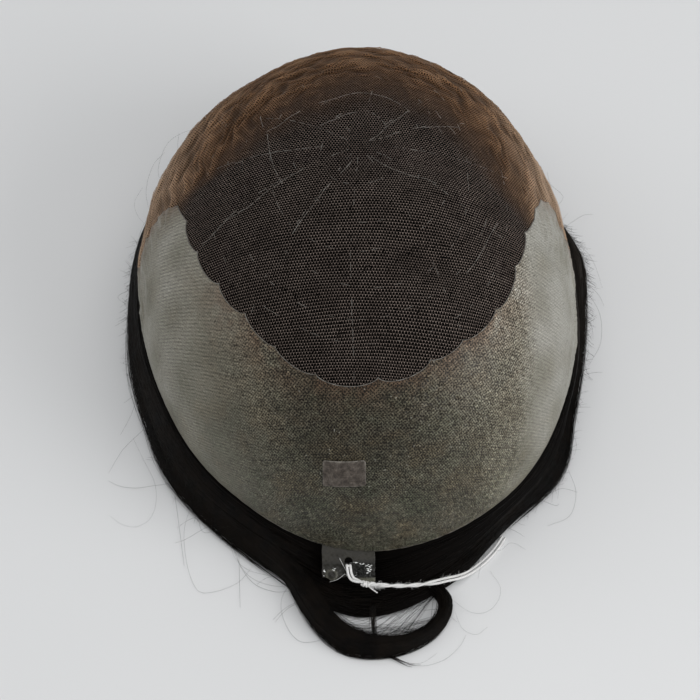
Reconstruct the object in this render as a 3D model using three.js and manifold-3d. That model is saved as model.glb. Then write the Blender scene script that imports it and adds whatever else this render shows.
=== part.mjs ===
// A lace front hair piece lying inside out on a table: a lace dome with a
// clear film band round its back and sides, a punched film tab at the nape,
// a hair lining under the dome with a skirt of hair on the table, one looped
// lock, and a white tie thread.
//
// Millimetres, +Z up.  The nape is towards -Y and the front hairline towards
// +Y.  Azimuth is in degrees from the nape, turning through +X (90), the front
// (180) and -X (270).  "down" runs from 0 at the crown to 1 at the rim.
import * as THREE from "three";
import { mergeVertices } from "three/addons/utils/BufferGeometryUtils.js";
import Module from "manifold-3d";

const wasm = await Module();
wasm.setup();

// ------------------------------------------------------------ sizes
const PLACE = { x: 1.24, y: 14.29 }; // puts the object's middle over the origin

const CROWN = { x: -0.56, y: 4.3, height: 97.55 }; // top of the dome
const ROUND = { across: 1.012, height: 1.127 }; // fullness of the dome's section
const BASE_WALL = 1.0; // lace and film
const GAP = 0.35; // between neighbouring pieces
const LINING_GAP = 0.75; // between the base and the hair under it

const LACE = { columns: 48, rows: 17 };
const FILM = { rows: 6, stepsPerScallop: 5 };
const CUT = { outside: 3, inside: 4, below: 3 }; // reach of the cutting band

const LABEL = { rise: 0.45, thick: 0.45, steps: 4 };

const TAB = {
  left: -12.8,
  right: 4.7,
  length: 10.4,
  thick: 0.8,
  slope: 22, // degrees below level
  holeX: -4.05,
  holeAt: 3.5, // from the rim
  holeRadius: 1.38,
  steps: 5,
};

const HAIR = {
  columns: 48,
  liningRows: 9,
  flareRows: 6,
  hollowRows: 8,
  underRim: 0.8, // clear height between the rim and the hair that passes under it
  firstOut: 0.5, // how far the skirt already stands out there
  toe: 1.5, // height of the skirt's outer edge
  toeIn: 1.2, // its foot stands this far inside that edge
  wall: 17, // skirt thickness on the table, inside the rim
  hollowTop: 81,
  hollowFullness: 0.92,
};
const TAB_DIP = { azimuth: -2.0, halfWidth: 13, depth: 4.6 }; // hair pressed down under the tab

const LOCK = { sides: 12, sections: 30, sit: 0.75, clear: 0.45 };

const THREAD = { radius: 0.4, sides: 8, apart: 0.56, steps: 28, loopSteps: 10 };
const KNOT = { x: 1.5, along: 10.9, above: 1.45, radius: 1.15 }; // over the tab's lower edge
const STOP = { along: 3.5, above: -2.65, radius: 1.5 }; // under the tab's hole

// ------------------------------------------------------------ tables
// Rim of the base, every 30 degrees from the nape.
const RIM = [
  { radius: 98.3, height: 12.8 },
  { radius: 94.0, height: 16.4 },
  { radius: 82.4, height: 20.6 },
  { radius: 75.6, height: 23.9 },
  { radius: 79.1, height: 20.3 },
  { radius: 90.4, height: 16.5 },
  { radius: 96.3, height: 16.1 },
  { radius: 90.6, height: 16.8 },
  { radius: 83.0, height: 23.5 },
  { radius: 78.4, height: 27.7 },
  { radius: 81.0, height: 24.5 },
  { radius: 90.2, height: 19.1 },
];

// How far the hair skirt stands out past the rim, every 15 degrees.
const SKIRT = [
  18.7, 12.6, 4.3, 5.7, 2.8, 3.9, 7.2, 9.8, 9.0, 8.0, 7.0, 6.5, 6.5, 6.5, 7.5,
  9.5, 11.0, 9.0, 6.9, 6.4, 6.0, 7.8, 8.0, 11.2,
].map((reach) => ({ reach }));

// Teeth of the film's scalloped edge, and the depth of the lobe after each.
const SCALLOPS = [
  { azimuth: -89.5, down: 0.57, lobe: 0.002 },
  { azimuth: -80.2, down: 0.53, lobe: 0.016 },
  { azimuth: -66.5, down: 0.512, lobe: 0.017 },
  { azimuth: -51.0, down: 0.49, lobe: 0.015 },
  { azimuth: -37.0, down: 0.48, lobe: 0.012 },
  { azimuth: -24.2, down: 0.497, lobe: 0.013 },
  { azimuth: -11.5, down: 0.51, lobe: 0.017 },
  { azimuth: 4.8, down: 0.5, lobe: 0.018 },
  { azimuth: 19.2, down: 0.492, lobe: 0.011 },
  { azimuth: 29.8, down: 0.49, lobe: 0.012 },
  { azimuth: 44.0, down: 0.497, lobe: 0.018 },
  { azimuth: 60.3, down: 0.497, lobe: 0.013 },
  { azimuth: 75.2, down: 0.512, lobe: 0.012 },
  { azimuth: 88.5, down: 0.56, lobe: 0.006 },
  { azimuth: 96.7, down: 0.615, lobe: 0 },
];

// Front edges of the film at the temples, from the end tooth to the rim.
const LEFT_EDGE = [
  { down: 0.57, azimuth: -89.5 },
  { down: 0.65, azimuth: -92.8 },
  { down: 0.76, azimuth: -91.8 },
  { down: 1.0, azimuth: -87.5 },
];
const RIGHT_EDGE = [
  { down: 0.615, azimuth: 96.7 },
  { down: 0.69, azimuth: 98.8 },
  { down: 0.79, azimuth: 95.0 },
  { down: 1.0, azimuth: 92.0 },
];

// Low folds of the lace near the front: middle, half length, half width, rise.
const FOLDS = [
  { azimuth: 178, down: 0.62, along: 36, across: 0.05, rise: 0.9 },
  { azimuth: 196, down: 0.76, along: 32, across: 0.05, rise: 0.9 },
  { azimuth: 152, down: 0.78, along: 28, across: 0.05, rise: 0.9 },
  { azimuth: 180, down: 0.91, along: 40, across: 0.05, rise: 0.9 },
  { azimuth: 240, down: 0.64, along: 26, across: 0.05, rise: 0.9 },
  { azimuth: 244, down: 0.8, along: 22, across: 0.05, rise: 0.9 },
  { azimuth: 122, down: 0.64, along: 22, across: 0.05, rise: 0.9 },
  { azimuth: 118, down: 0.8, along: 20, across: 0.05, rise: 0.9 },
];

// Corners of the sticker on the film.
const LABEL_CORNERS = {
  topLeft: { azimuth: -7.8, down: 0.698 },
  topRight: { azimuth: 1.2, down: 0.682 },
  bottomLeft: { azimuth: -7.5, down: 0.765 },
  bottomRight: { azimuth: 1.2, down: 0.748 },
};

// The tab's torn lower edge: length there as a share of the full length.
const TAB_END = [
  { across: 0, share: 0.86 },
  { across: 0.08, share: 0.83 },
  { across: 0.18, share: 0.95 },
  { across: 0.29, share: 0.91 },
  { across: 0.36, share: 0.83 },
  { across: 0.5, share: 0.83 },
  { across: 0.6, share: 1.0 },
  { across: 1, share: 1.0 },
];

// Looped lock on the table: middle line, half width and half height.
const LOCK_LINE = [
  { x: -23.0, y: -100.0, wide: 4.0, high: 4.2 },
  { x: -17.8, y: -112.4, wide: 4.7, high: 4.4 },
  { x: -11.0, y: -121.6, wide: 4.6, high: 4.2 },
  { x: -2.8, y: -126.6, wide: 3.9, high: 3.7 },
  { x: 7.2, y: -128.1, wide: 3.2, high: 3.2 },
  { x: 16.6, y: -126.3, wide: 2.6, high: 2.8 },
  { x: 23.5, y: -122.0, wide: 2.3, high: 2.5 },
  { x: 27.6, y: -116.0, wide: 2.1, high: 2.4 },
  { x: 27.8, y: -110.2, wide: 2.2, high: 2.4 },
  { x: 23.0, y: -106.0, wide: 2.2, high: 2.4 },
];

// Tie thread from the knot: distance out past the rim, and height.
const THREAD_LINE = [
  { azimuth: 2.05, out: 10.7, height: 10.0 },
  { azimuth: 3.5, out: 10.7, height: 9.0 },
  { azimuth: 6.0, out: 10.8, height: 7.6 },
  { azimuth: 9.2, out: 11.1, height: 6.4 },
  { azimuth: 12.4, out: 11.3, height: 5.5 },
  { azimuth: 15.2, out: 11.3, height: 4.6 },
  { azimuth: 18.0, out: 11.2, height: 2.7 },
  { azimuth: 20.8, out: 10.3, height: 0.9 },
  { azimuth: 24.2, out: 8.9, height: 0.6 },
  { azimuth: 27.0, out: 7.3, height: 0.6 },
  { azimuth: 29.2, out: 5.7, height: 0.6 },
];

// Thread pair from the knot to the tab's hole and through it, in the tab's own
// plane: across, along from the rim, and above its upper face.
const LOOP_LINE = [
  { x: -0.3, along: 10.35, above: 1.1 },
  { x: -1.6, along: 9.6, above: 0.9 },
  { x: -2.9, along: 7.9, above: 0.8 },
  { x: -3.6, along: 5.9, above: 0.8 },
  { x: -4.0, along: 4.3, above: 0.45 },
  { x: -4.05, along: 3.5, above: -0.6 },
  { x: -4.05, along: 3.5, above: -0.82 },
];

// ------------------------------------------------------------ small tools
const RAD = Math.PI / 180;

// Smooth closed curve through one column of a table with evenly spaced rows.
function around(table, column, azimuth) {
  const n = table.length;
  const p = ((((azimuth / 360) * n) % n) + n) % n;
  const i = Math.floor(p);
  const u = p - i;
  const at = (k) => table[(i + k + n) % n][column];
  const [a, b, c, d] = [at(-1), at(0), at(1), at(2)];
  return (
    b +
    0.5 *
      u *
      (c - a + u * (2 * a - 5 * b + 4 * c - d + u * (3 * (b - c) + d - a)))
  );
}

// Straight-line reading of a table with its own positions.
function along(table, key, column, value) {
  if (value <= table[0][key]) return table[0][column];
  for (let i = 1; i < table.length; i++) {
    const [a, b] = [table[i - 1], table[i]];
    if (value <= b[key])
      return (
        a[column] +
        ((b[column] - a[column]) * (value - a[key])) / (b[key] - a[key])
      );
  }
  return table[table.length - 1][column];
}

function foldRise(azimuth, down) {
  let rise = 0;
  for (const f of FOLDS) {
    let turn = Math.abs(((azimuth - f.azimuth + 540) % 360) - 180) / f.along;
    if (turn >= 1) continue;
    turn = Math.cos((turn * Math.PI) / 2);
    rise += f.rise * turn * Math.exp(-(((down - f.down) / f.across) ** 2));
  }
  return rise;
}

// Plain outer surface of the dome.
function domeSurface(azimuth, down) {
  const radius = around(RIM, "radius", azimuth);
  const height = around(RIM, "height", azimuth);
  const turn = Math.min(down, 1) * (Math.PI / 2);
  const out = radius * Math.sin(turn) ** ROUND.across;
  const up = Math.max(Math.cos(turn), 0);
  return new THREE.Vector3(
    out * Math.sin(azimuth * RAD) + CROWN.x * up,
    -out * Math.cos(azimuth * RAD) + CROWN.y * up,
    height + (CROWN.height - height) * up ** ROUND.height,
  );
}

function domeNormal(azimuth, down) {
  const d = Math.min(Math.max(down, 0.03), 0.985);
  const round = domeSurface(azimuth + 0.5, d).sub(domeSurface(azimuth - 0.5, d));
  const fall = domeSurface(azimuth, d + 0.01).sub(domeSurface(azimuth, d - 0.01));
  return fall.cross(round).normalize();
}

// Point of the dome, sunk below its outer surface by depth.
function domePoint(azimuth, down, depth = 0, folded = true) {
  const rise = folded ? foldRise(azimuth, down) : 0;
  return domeSurface(azimuth, down).addScaledVector(
    domeNormal(azimuth, down),
    rise - depth,
  );
}

function polar(azimuth, radius, height) {
  return new THREE.Vector3(
    radius * Math.sin(azimuth * RAD),
    -radius * Math.cos(azimuth * RAD),
    height,
  );
}

function closedGeometry(points, faces) {
  const position = new Float32Array(points.flatMap((p) => [p.x, p.y, p.z]));
  let volume = 0;
  for (let i = 0; i < faces.length; i += 3) {
    const [a, b, c] = [0, 1, 2].map((k) => points[faces[i + k]]);
    volume += a.dot(new THREE.Vector3().crossVectors(b, c));
  }
  const index = faces.slice();
  if (volume < 0)
    for (let i = 0; i < index.length; i += 3)
      [index[i + 1], index[i + 2]] = [index[i + 2], index[i + 1]];
  return new THREE.BufferGeometry()
    .setAttribute("position", new THREE.BufferAttribute(position, 3))
    .setIndex(index);
}

// Closed body from a first point, a stack of rings, and a last point.
function ringStack(first, rings, last) {
  const n = rings[0].length;
  const points = [first, ...rings.flat(), last];
  const end = points.length - 1;
  const at = (i, j) => 1 + i * n + (j % n);
  const faces = [];
  for (let j = 0; j < n; j++) {
    faces.push(0, at(0, j), at(0, j + 1));
    faces.push(at(rings.length - 1, j), end, at(rings.length - 1, j + 1));
    for (let i = 0; i + 1 < rings.length; i++) {
      faces.push(at(i, j), at(i + 1, j), at(i + 1, j + 1));
      faces.push(at(i, j), at(i + 1, j + 1), at(i, j + 1));
    }
  }
  return closedGeometry(points, faces);
}

// Closed plate: upper and lower grids of points with the same layout.
function plate(upper, lower) {
  const [m, n] = [upper.length, upper[0].length];
  const points = [...upper.flat(), ...lower.flat()];
  const top = (i, j) => i * n + j;
  const low = (i, j) => m * n + i * n + j;
  const faces = [];
  const quad = (a, b, c, d) => faces.push(a, b, c, a, c, d);
  for (let i = 0; i + 1 < m; i++)
    for (let j = 0; j + 1 < n; j++) {
      quad(top(i, j), top(i, j + 1), top(i + 1, j + 1), top(i + 1, j));
      quad(low(i, j), low(i + 1, j), low(i + 1, j + 1), low(i, j + 1));
    }
  for (let i = 0; i + 1 < m; i++) {
    quad(top(i, 0), top(i + 1, 0), low(i + 1, 0), low(i, 0));
    quad(top(i + 1, n - 1), top(i, n - 1), low(i, n - 1), low(i + 1, n - 1));
  }
  for (let j = 0; j + 1 < n; j++) {
    quad(top(0, j + 1), top(0, j), low(0, j), low(0, j + 1));
    quad(top(m - 1, j), top(m - 1, j + 1), low(m - 1, j + 1), low(m - 1, j));
  }
  return closedGeometry(points, faces);
}

function solidOf(geometry) {
  const bare = geometry.clone();
  bare.deleteAttribute("normal");
  bare.deleteAttribute("uv");
  const merged = mergeVertices(bare, 1e-4);
  return new wasm.Manifold(
    new wasm.Mesh({
      numProp: 3,
      vertProperties: new Float32Array(merged.attributes.position.array),
      triVerts: new Uint32Array(merged.index.array),
    }),
  );
}

function geometryOf(solid) {
  const mesh = solid.getMesh();
  return new THREE.BufferGeometry()
    .setAttribute(
      "position",
      new THREE.BufferAttribute(new Float32Array(mesh.vertProperties), 3),
    )
    .setIndex(new THREE.BufferAttribute(new Uint32Array(mesh.triVerts), 1));
}

// ------------------------------------------------------------ base
const columns = (n) => Array.from({ length: n }, (_, j) => (j * 360) / n);

function laceDome() {
  const turns = columns(LACE.columns);
  const rows = Array.from({ length: LACE.rows }, (_, i) => (i + 1) / LACE.rows);
  const ring = (depth) => (down) => turns.map((a) => domePoint(a, down, depth));
  const crown = domeSurface(0, 0);
  return ringStack(
    crown,
    [...rows.map(ring(0)), ...rows.slice().reverse().map(ring(BASE_WALL))],
    crown.clone().setZ(CROWN.height - BASE_WALL),
  );
}

// Columns of the film: azimuth of the scalloped edge and how far down it is.
function scallopColumns() {
  const list = [];
  SCALLOPS.forEach((s, i) => {
    const next = SCALLOPS[i + 1];
    if (!next) return list.push({ azimuth: s.azimuth, down: s.down });
    for (let k = 0; k < FILM.stepsPerScallop; k++) {
      const u = k / FILM.stepsPerScallop;
      const round = Math.sqrt(Math.max(0, 1 - (2 * u - 1) ** 2));
      list.push({
        azimuth: s.azimuth + (next.azimuth - s.azimuth) * u,
        down: s.down + (next.down - s.down) * u + s.lobe * round,
      });
    }
  });
  return list;
}

// Azimuth of a film column at a given place down the dome: the end columns
// follow the temple edges.
function filmAzimuth(column, down, widen) {
  const [a, b] = [SCALLOPS[0].azimuth, SCALLOPS[1].azimuth];
  const [c, d] = SCALLOPS.slice(-2).map((s) => s.azimuth);
  if (column < b) {
    const share = (b - column) / (b - a);
    return column + share * (along(LEFT_EDGE, "down", "azimuth", down) - a - widen);
  }
  if (column > c) {
    const share = (column - c) / (d - c);
    return column + share * (along(RIGHT_EDGE, "down", "azimuth", down) - d + widen);
  }
  return column;
}

function filmBand({ raise = 0, widen = 0, outside = 0, inside = BASE_WALL, below = 0 }) {
  const grid = (depth) =>
    scallopColumns().map((c) => {
      const start = c.down - raise;
      const column = Array.from({ length: FILM.rows + 1 }, (_, i) => {
        const down = start + ((1 - start) * i) / FILM.rows;
        return domePoint(filmAzimuth(c.azimuth, down, widen), down, depth);
      });
      if (below) {
        const foot = column[FILM.rows].clone();
        foot.z -= below;
        column.push(foot);
      }
      return column;
    });
  return plate(grid(-outside), grid(inside));
}

const film = filmBand({});
const lace = geometryOf(
  solidOf(laceDome()).subtract(
    solidOf(
      filmBand({
        raise: GAP / 133,
        widen: GAP / 80 / RAD,
        outside: CUT.outside,
        inside: CUT.inside,
        below: CUT.below,
      }),
    ),
  ),
);

// ------------------------------------------------------------ sticker
function labelPatch() {
  const c = LABEL_CORNERS;
  const mix = (u, v, key) =>
    (1 - v) * ((1 - u) * c.topLeft[key] + u * c.topRight[key]) +
    v * ((1 - u) * c.bottomLeft[key] + u * c.bottomRight[key]);
  const grid = (depth) =>
    Array.from({ length: LABEL.steps + 1 }, (_, i) =>
      Array.from({ length: LABEL.steps + 1 }, (_, j) => {
        const [u, v] = [i / LABEL.steps, j / LABEL.steps];
        return domePoint(mix(u, v, "azimuth"), mix(u, v, "down"), depth);
      }),
    );
  return plate(grid(-LABEL.rise - LABEL.thick), grid(-LABEL.rise));
}

// ------------------------------------------------------------ tab
const tabSlope = TAB.slope * RAD;
const tabOut = new THREE.Vector3(0, -Math.cos(tabSlope), -Math.sin(tabSlope));
const tabUp = new THREE.Vector3(0, -Math.sin(tabSlope), Math.cos(tabSlope));
const tabRoot = domeSurface(TAB.holeX / 98.3 / RAD, 1).setX(0);
tabRoot.y -= GAP;

function tabPoint(x, from, above) {
  return tabRoot
    .clone()
    .setX(x)
    .addScaledVector(tabOut, from)
    .addScaledVector(tabUp, above);
}

function filmTab() {
  const shape = new THREE.Shape();
  const width = TAB.right - TAB.left;
  for (let i = 0; i <= TAB.steps; i++) {
    const x = TAB.left + (width * i) / TAB.steps;
    const rim = domeSurface(x / 97.5 / RAD, 1);
    const from = (tabRoot.y - (rim.y - GAP)) / Math.cos(tabSlope);
    i ? shape.lineTo(x, from) : shape.moveTo(x, from);
  }
  for (const e of TAB_END.slice().reverse())
    shape.lineTo(TAB.left + width * e.across, TAB.length * e.share);
  shape.closePath();
  const hole = new THREE.Path();
  hole.absarc(TAB.holeX, TAB.holeAt, TAB.holeRadius, 0, 2 * Math.PI, true);
  shape.holes.push(hole);
  const geometry = new THREE.ExtrudeGeometry(shape, {
    depth: TAB.thick,
    bevelEnabled: false,
    curveSegments: 14,
  });
  const down = tabUp.clone().negate();
  return geometry.applyMatrix4(
    new THREE.Matrix4()
      .makeBasis(new THREE.Vector3(1, 0, 0), tabOut, down)
      .setPosition(tabRoot),
  );
}

// ------------------------------------------------------------ hair
// Skirt section: share 0 under the rim, 1 at its outer edge near the table.
function skirtSection(azimuth, share, grow) {
  const radius = around(RIM, "radius", azimuth);
  const height = around(RIM, "height", azimuth) - HAIR.underRim + grow;
  const reach = around(SKIRT, "reach", azimuth) + grow;
  const fall = 0.62 + 0.58 * (reach / SKIRT[0].reach) ** 2;
  const turn = Math.abs(((azimuth - TAB_DIP.azimuth + 540) % 360) - 180);
  const dip =
    turn < TAB_DIP.halfWidth
      ? TAB_DIP.depth * Math.cos((turn / TAB_DIP.halfWidth) * (Math.PI / 2)) ** 2
      : 0;
  const press = dip * (1 - THREE.MathUtils.smoothstep(share, 0.5, 1));
  return {
    radius: radius + HAIR.firstOut + (reach - HAIR.firstOut) * share,
    height:
      HAIR.toe + grow + (height - HAIR.toe) * (1 - share) ** fall - press,
  };
}

function hairBody(grow = 0) {
  const turns = columns(HAIR.columns);
  const rings = [];
  for (let i = 1; i <= HAIR.liningRows; i++)
    rings.push(
      turns.map((a) =>
        domePoint(a, (0.98 * i) / HAIR.liningRows, BASE_WALL + LINING_GAP, false),
      ),
    );
  rings.push(
    turns.map((a) =>
      polar(
        a,
        around(RIM, "radius", a) - BASE_WALL - LINING_GAP,
        around(RIM, "height", a) - HAIR.underRim,
      ),
    ),
  );
  for (let i = 0; i <= HAIR.flareRows; i++)
    rings.push(
      turns.map((a) => {
        const s = skirtSection(a, i / HAIR.flareRows, grow);
        return polar(a, s.radius, s.height);
      }),
    );
  const foot = (a) =>
    around(RIM, "radius", a) + around(SKIRT, "reach", a) - HAIR.toeIn + grow;
  rings.push(turns.map((a) => polar(a, foot(a), 0)));
  for (let i = 0; i < HAIR.hollowRows; i++) {
    const turn = (1 - i / HAIR.hollowRows) * (Math.PI / 2);
    rings.push(
      turns.map((a) =>
        polar(
          a,
          (around(RIM, "radius", a) - HAIR.wall) * Math.sin(turn) ** HAIR.hollowFullness,
          HAIR.hollowTop * Math.cos(turn),
        ),
      ),
    );
  }
  const crown = domeSurface(0, 0);
  return ringStack(
    crown.setZ(CROWN.height - BASE_WALL - LINING_GAP),
    rings,
    new THREE.Vector3(0, 0, HAIR.hollowTop),
  );
}

function hairLock() {
  const line = new THREE.CatmullRomCurve3(
    LOCK_LINE.map((p) => new THREE.Vector3(p.x, p.y, 0)),
  );
  const size = new THREE.CatmullRomCurve3(
    LOCK_LINE.map((p) => new THREE.Vector3(p.wide, p.high, 0)),
  );
  const rings = Array.from({ length: LOCK.sections + 1 }, (_, i) => {
    const u = i / LOCK.sections;
    const middle = line.getPoint(u);
    const { x: wide, y: high } = size.getPoint(u);
    const way = line.getTangent(u);
    const side = new THREE.Vector3(way.y, -way.x, 0);
    return Array.from({ length: LOCK.sides }, (_, j) => {
      const turn = (j / LOCK.sides) * 2 * Math.PI;
      const p = middle.clone().addScaledVector(side, wide * Math.cos(turn));
      return p.setZ(Math.max(0, high * (LOCK.sit + Math.sin(turn))));
    });
  });
  const middleOf = (ring) =>
    ring.reduce((s, p) => s.add(p), new THREE.Vector3()).divideScalar(ring.length);
  const whole = ringStack(
    middleOf(rings[0]),
    rings,
    middleOf(rings[rings.length - 1]),
  );
  const cut = solidOf(whole).subtract(solidOf(hairBody(LOCK.clear)));
  const pieces = cut.decompose();
  pieces.sort((a, b) => b.volume() - a.volume());
  return geometryOf(pieces[0]);
}

// ------------------------------------------------------------ tie thread
function threadTube(points, steps) {
  const section = new THREE.Shape();
  section.absarc(0, 0, THREAD.radius, 0, 2 * Math.PI, false);
  return new THREE.ExtrudeGeometry(section, {
    steps,
    curveSegments: THREAD.sides / 2,
    bevelEnabled: false,
    extrudePath: new THREE.CatmullRomCurve3(points),
  });
}

function tieCord(shift) {
  const points = THREAD_LINE.map((p) =>
    polar(
      p.azimuth,
      around(RIM, "radius", p.azimuth) + p.out + shift,
      p.height,
    ),
  );
  return threadTube(points, THREAD.steps);
}

// ------------------------------------------------------------ assembly
const finish = (color, roughness, opacity = 1) =>
  new THREE.MeshStandardMaterial({
    color,
    roughness,
    metalness: 0,
    transparent: opacity < 1,
    opacity,
  });

const part = new THREE.Group();
part.position.set(PLACE.x, PLACE.y, 0);

function piece(name, geometry, material) {
  const mesh = new THREE.Mesh(geometry, material);
  mesh.name = name;
  part.add(mesh);
  return mesh;
}

piece("lace_cap", lace, finish(0x3a2e26, 0.85));
piece("poly_perimeter", film, finish(0x777770, 0.4, 0.85));
piece("poly_tab", filmTab(), finish(0x9a9a94, 0.2, 0.6));
piece("label_patch", labelPatch(), finish(0x8f8a80, 0.5));
piece("hair_body", hairBody(), finish(0x100d0b, 0.45));
piece("hair_lock", hairLock(), finish(0x100d0b, 0.45));
piece("tie_cord_a", tieCord(THREAD.apart), finish(0xf2f0ea, 0.9));
piece("tie_cord_b", tieCord(-THREAD.apart), finish(0xf2f0ea, 0.9));
// The thread pair lies side by side, square to its own way in the tab's plane.
function tieLoop(shift) {
  const line = new THREE.CatmullRomCurve3(
    LOOP_LINE.map((p) => new THREE.Vector3(p.x, p.along, p.above)),
  );
  const points = Array.from({ length: 13 }, (_, i) => {
    const u = i / 12;
    const at = line.getPoint(u);
    const way = line.getTangent(u);
    const side = new THREE.Vector2(way.y, -way.x + 0.2).normalize();
    return tabPoint(at.x + side.x * shift, at.y + side.y * shift, at.z);
  });
  return threadTube(points, THREAD.loopSteps);
}

function tieKnot(name, spec, x) {
  const ball = new THREE.SphereGeometry(spec.radius, 12, 8);
  piece(name, ball, finish(0xf2f0ea, 0.9)).position.copy(
    tabPoint(x, spec.along, spec.above),
  );
}

piece("tie_loop_a", tieLoop(THREAD.apart), finish(0xf2f0ea, 0.9));
piece("tie_loop_b", tieLoop(-THREAD.apart), finish(0xf2f0ea, 0.9));
tieKnot("tie_knot", KNOT, KNOT.x);
tieKnot("tie_stop", STOP, TAB.holeX);

export default part;
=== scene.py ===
import math

import bpy
import numpy as np
from mathutils import Matrix


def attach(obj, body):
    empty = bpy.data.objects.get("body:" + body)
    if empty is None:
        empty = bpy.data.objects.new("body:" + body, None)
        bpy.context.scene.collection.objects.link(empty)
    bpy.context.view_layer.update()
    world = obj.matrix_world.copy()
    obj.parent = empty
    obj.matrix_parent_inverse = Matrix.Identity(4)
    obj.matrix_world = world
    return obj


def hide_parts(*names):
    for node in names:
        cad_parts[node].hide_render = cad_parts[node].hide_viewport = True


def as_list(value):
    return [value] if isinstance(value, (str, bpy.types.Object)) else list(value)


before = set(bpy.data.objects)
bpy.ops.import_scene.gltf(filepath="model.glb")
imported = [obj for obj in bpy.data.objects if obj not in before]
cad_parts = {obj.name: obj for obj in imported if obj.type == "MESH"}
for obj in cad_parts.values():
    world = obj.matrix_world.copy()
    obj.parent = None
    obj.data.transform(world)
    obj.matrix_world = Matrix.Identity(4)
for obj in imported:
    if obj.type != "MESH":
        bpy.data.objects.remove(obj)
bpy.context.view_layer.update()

# A lace front hair piece lying inside out: a lace dome, a clear film band with
# a scalloped edge, a punched film tab, a blank sticker, hair, and a tie thread.
#
# Sizes are in millimetres in the part's own layout, before PLACE moves its
# middle over the origin.  Azimuth is in degrees from the nape (-Y), turning
# through +X.  "down" runs from 0 at the crown to 1 at the rim.
rng = np.random.default_rng(20)
PLACE = np.array([1.24, 14.29, 0.0])

CROWN = (-0.56, 4.3, 97.55)
ROUND_ACROSS, ROUND_HEIGHT = 1.012, 1.127
RIM_RADIUS = [98.3, 94.0, 82.4, 75.6, 79.1, 90.4, 96.3, 90.6, 83.0, 78.4, 81.0, 90.2]
RIM_HEIGHT = [12.8, 16.4, 20.6, 23.9, 20.3, 16.5, 16.1, 16.8, 23.5, 27.7, 24.5, 19.1]
SKIRT_REACH = [
    18.7, 12.6, 4.3, 5.7, 2.8, 3.9, 7.2, 9.8, 9.0, 8.0, 7.0, 6.5,
    6.5, 6.5, 7.5, 9.5, 11.0, 9.0, 6.9, 6.4, 6.0, 7.8, 8.0, 11.2,
]  # fmt: skip
# Teeth of the film's edge: azimuth, down, depth of the lobe after it.
SCALLOPS = np.array([
    (-89.5, 0.570, 0.002), (-80.2, 0.530, 0.016), (-66.5, 0.512, 0.017), (-51.0, 0.490, 0.015),
    (-37.0, 0.480, 0.012), (-24.2, 0.497, 0.013), (-11.5, 0.510, 0.017), (4.8, 0.500, 0.018),
    (19.2, 0.492, 0.011), (29.8, 0.490, 0.012), (44.0, 0.497, 0.018), (60.3, 0.497, 0.013),
    (75.2, 0.512, 0.012), (88.5, 0.560, 0.006), (96.7, 0.615, 0.0),
])  # fmt: skip
# Front edges of the film at the temples: down, azimuth.
LEFT_EDGE = np.array([(0.57, -89.5), (0.65, -92.8), (0.76, -91.8), (1.0, -87.5)])
RIGHT_EDGE = np.array([(0.615, 96.7), (0.69, 98.8), (0.79, 95.0), (1.0, 92.0)])
# Low folds of the lace: azimuth, down, half length.
FOLDS = [
    (178, 0.62, 36), (196, 0.76, 32), (152, 0.78, 28), (180, 0.91, 40),
    (240, 0.64, 26), (244, 0.80, 22), (122, 0.64, 22), (118, 0.80, 20),
]  # fmt: skip
FOLD_ACROSS, FOLD_RISE = 0.05, 0.9
# Where the lace turns brown and slack towards the front: azimuth, down.
SLACK = np.array([
    (60, 1.2), (70, 0.72), (78, 0.5), (84, 0.39), (90, 0.335), (100.5, 0.285), (122, 0.21), (149.5, 0.135), (180, 0.115),
    (212, 0.105), (238, 0.165), (252.5, 0.215), (264, 0.285), (268, 0.365), (270.5, 0.46), (276, 0.56), (285, 0.72), (300, 1.2),
])  # fmt: skip
LABEL = {"tl": (-7.8, 0.698), "tr": (1.2, 0.682), "bl": (-7.5, 0.765), "br": (1.2, 0.748)}
TAB_LEFT, TAB_RIGHT, TAB_LENGTH, TAB_SLOPE = -12.8, 4.7, 10.4, math.radians(22)
TAB_HOLE = (-4.05, 3.5, 1.38)  # across, from the rim, radius
TAB_END = np.array([(0, 0.86), (0.08, 0.83), (0.18, 0.95), (0.29, 0.91), (0.36, 0.83), (0.5, 0.83), (0.6, 1), (1, 1)])
# The looped lock, both ends running on under the skirt: x, y, half width, height.
LOCK_LINE = np.array([
    (-31.0, -85.5, 2.0, 1.9), (-27.6, -92.6, 3.4, 3.2), (-23.0, -100.0, 4.0, 4.1), (-16.9, -111.8, 3.8, 4.3),
    (-10.2, -120.6, 3.6, 4.1), (-2.7, -126.0, 3.4, 3.7), (7.2, -127.5, 2.7, 3.2), (16.4, -125.9, 2.2, 2.8),
    (23.4, -121.8, 2.1, 2.5), (27.6, -116.0, 2.1, 2.4), (27.8, -110.2, 2.2, 2.4), (23.0, -106.0, 2.2, 2.3),
    (16.0, -103.4, 2.0, 2.0), (9.0, -102.4, 1.4, 1.5),
])  # fmt: skip
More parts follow.
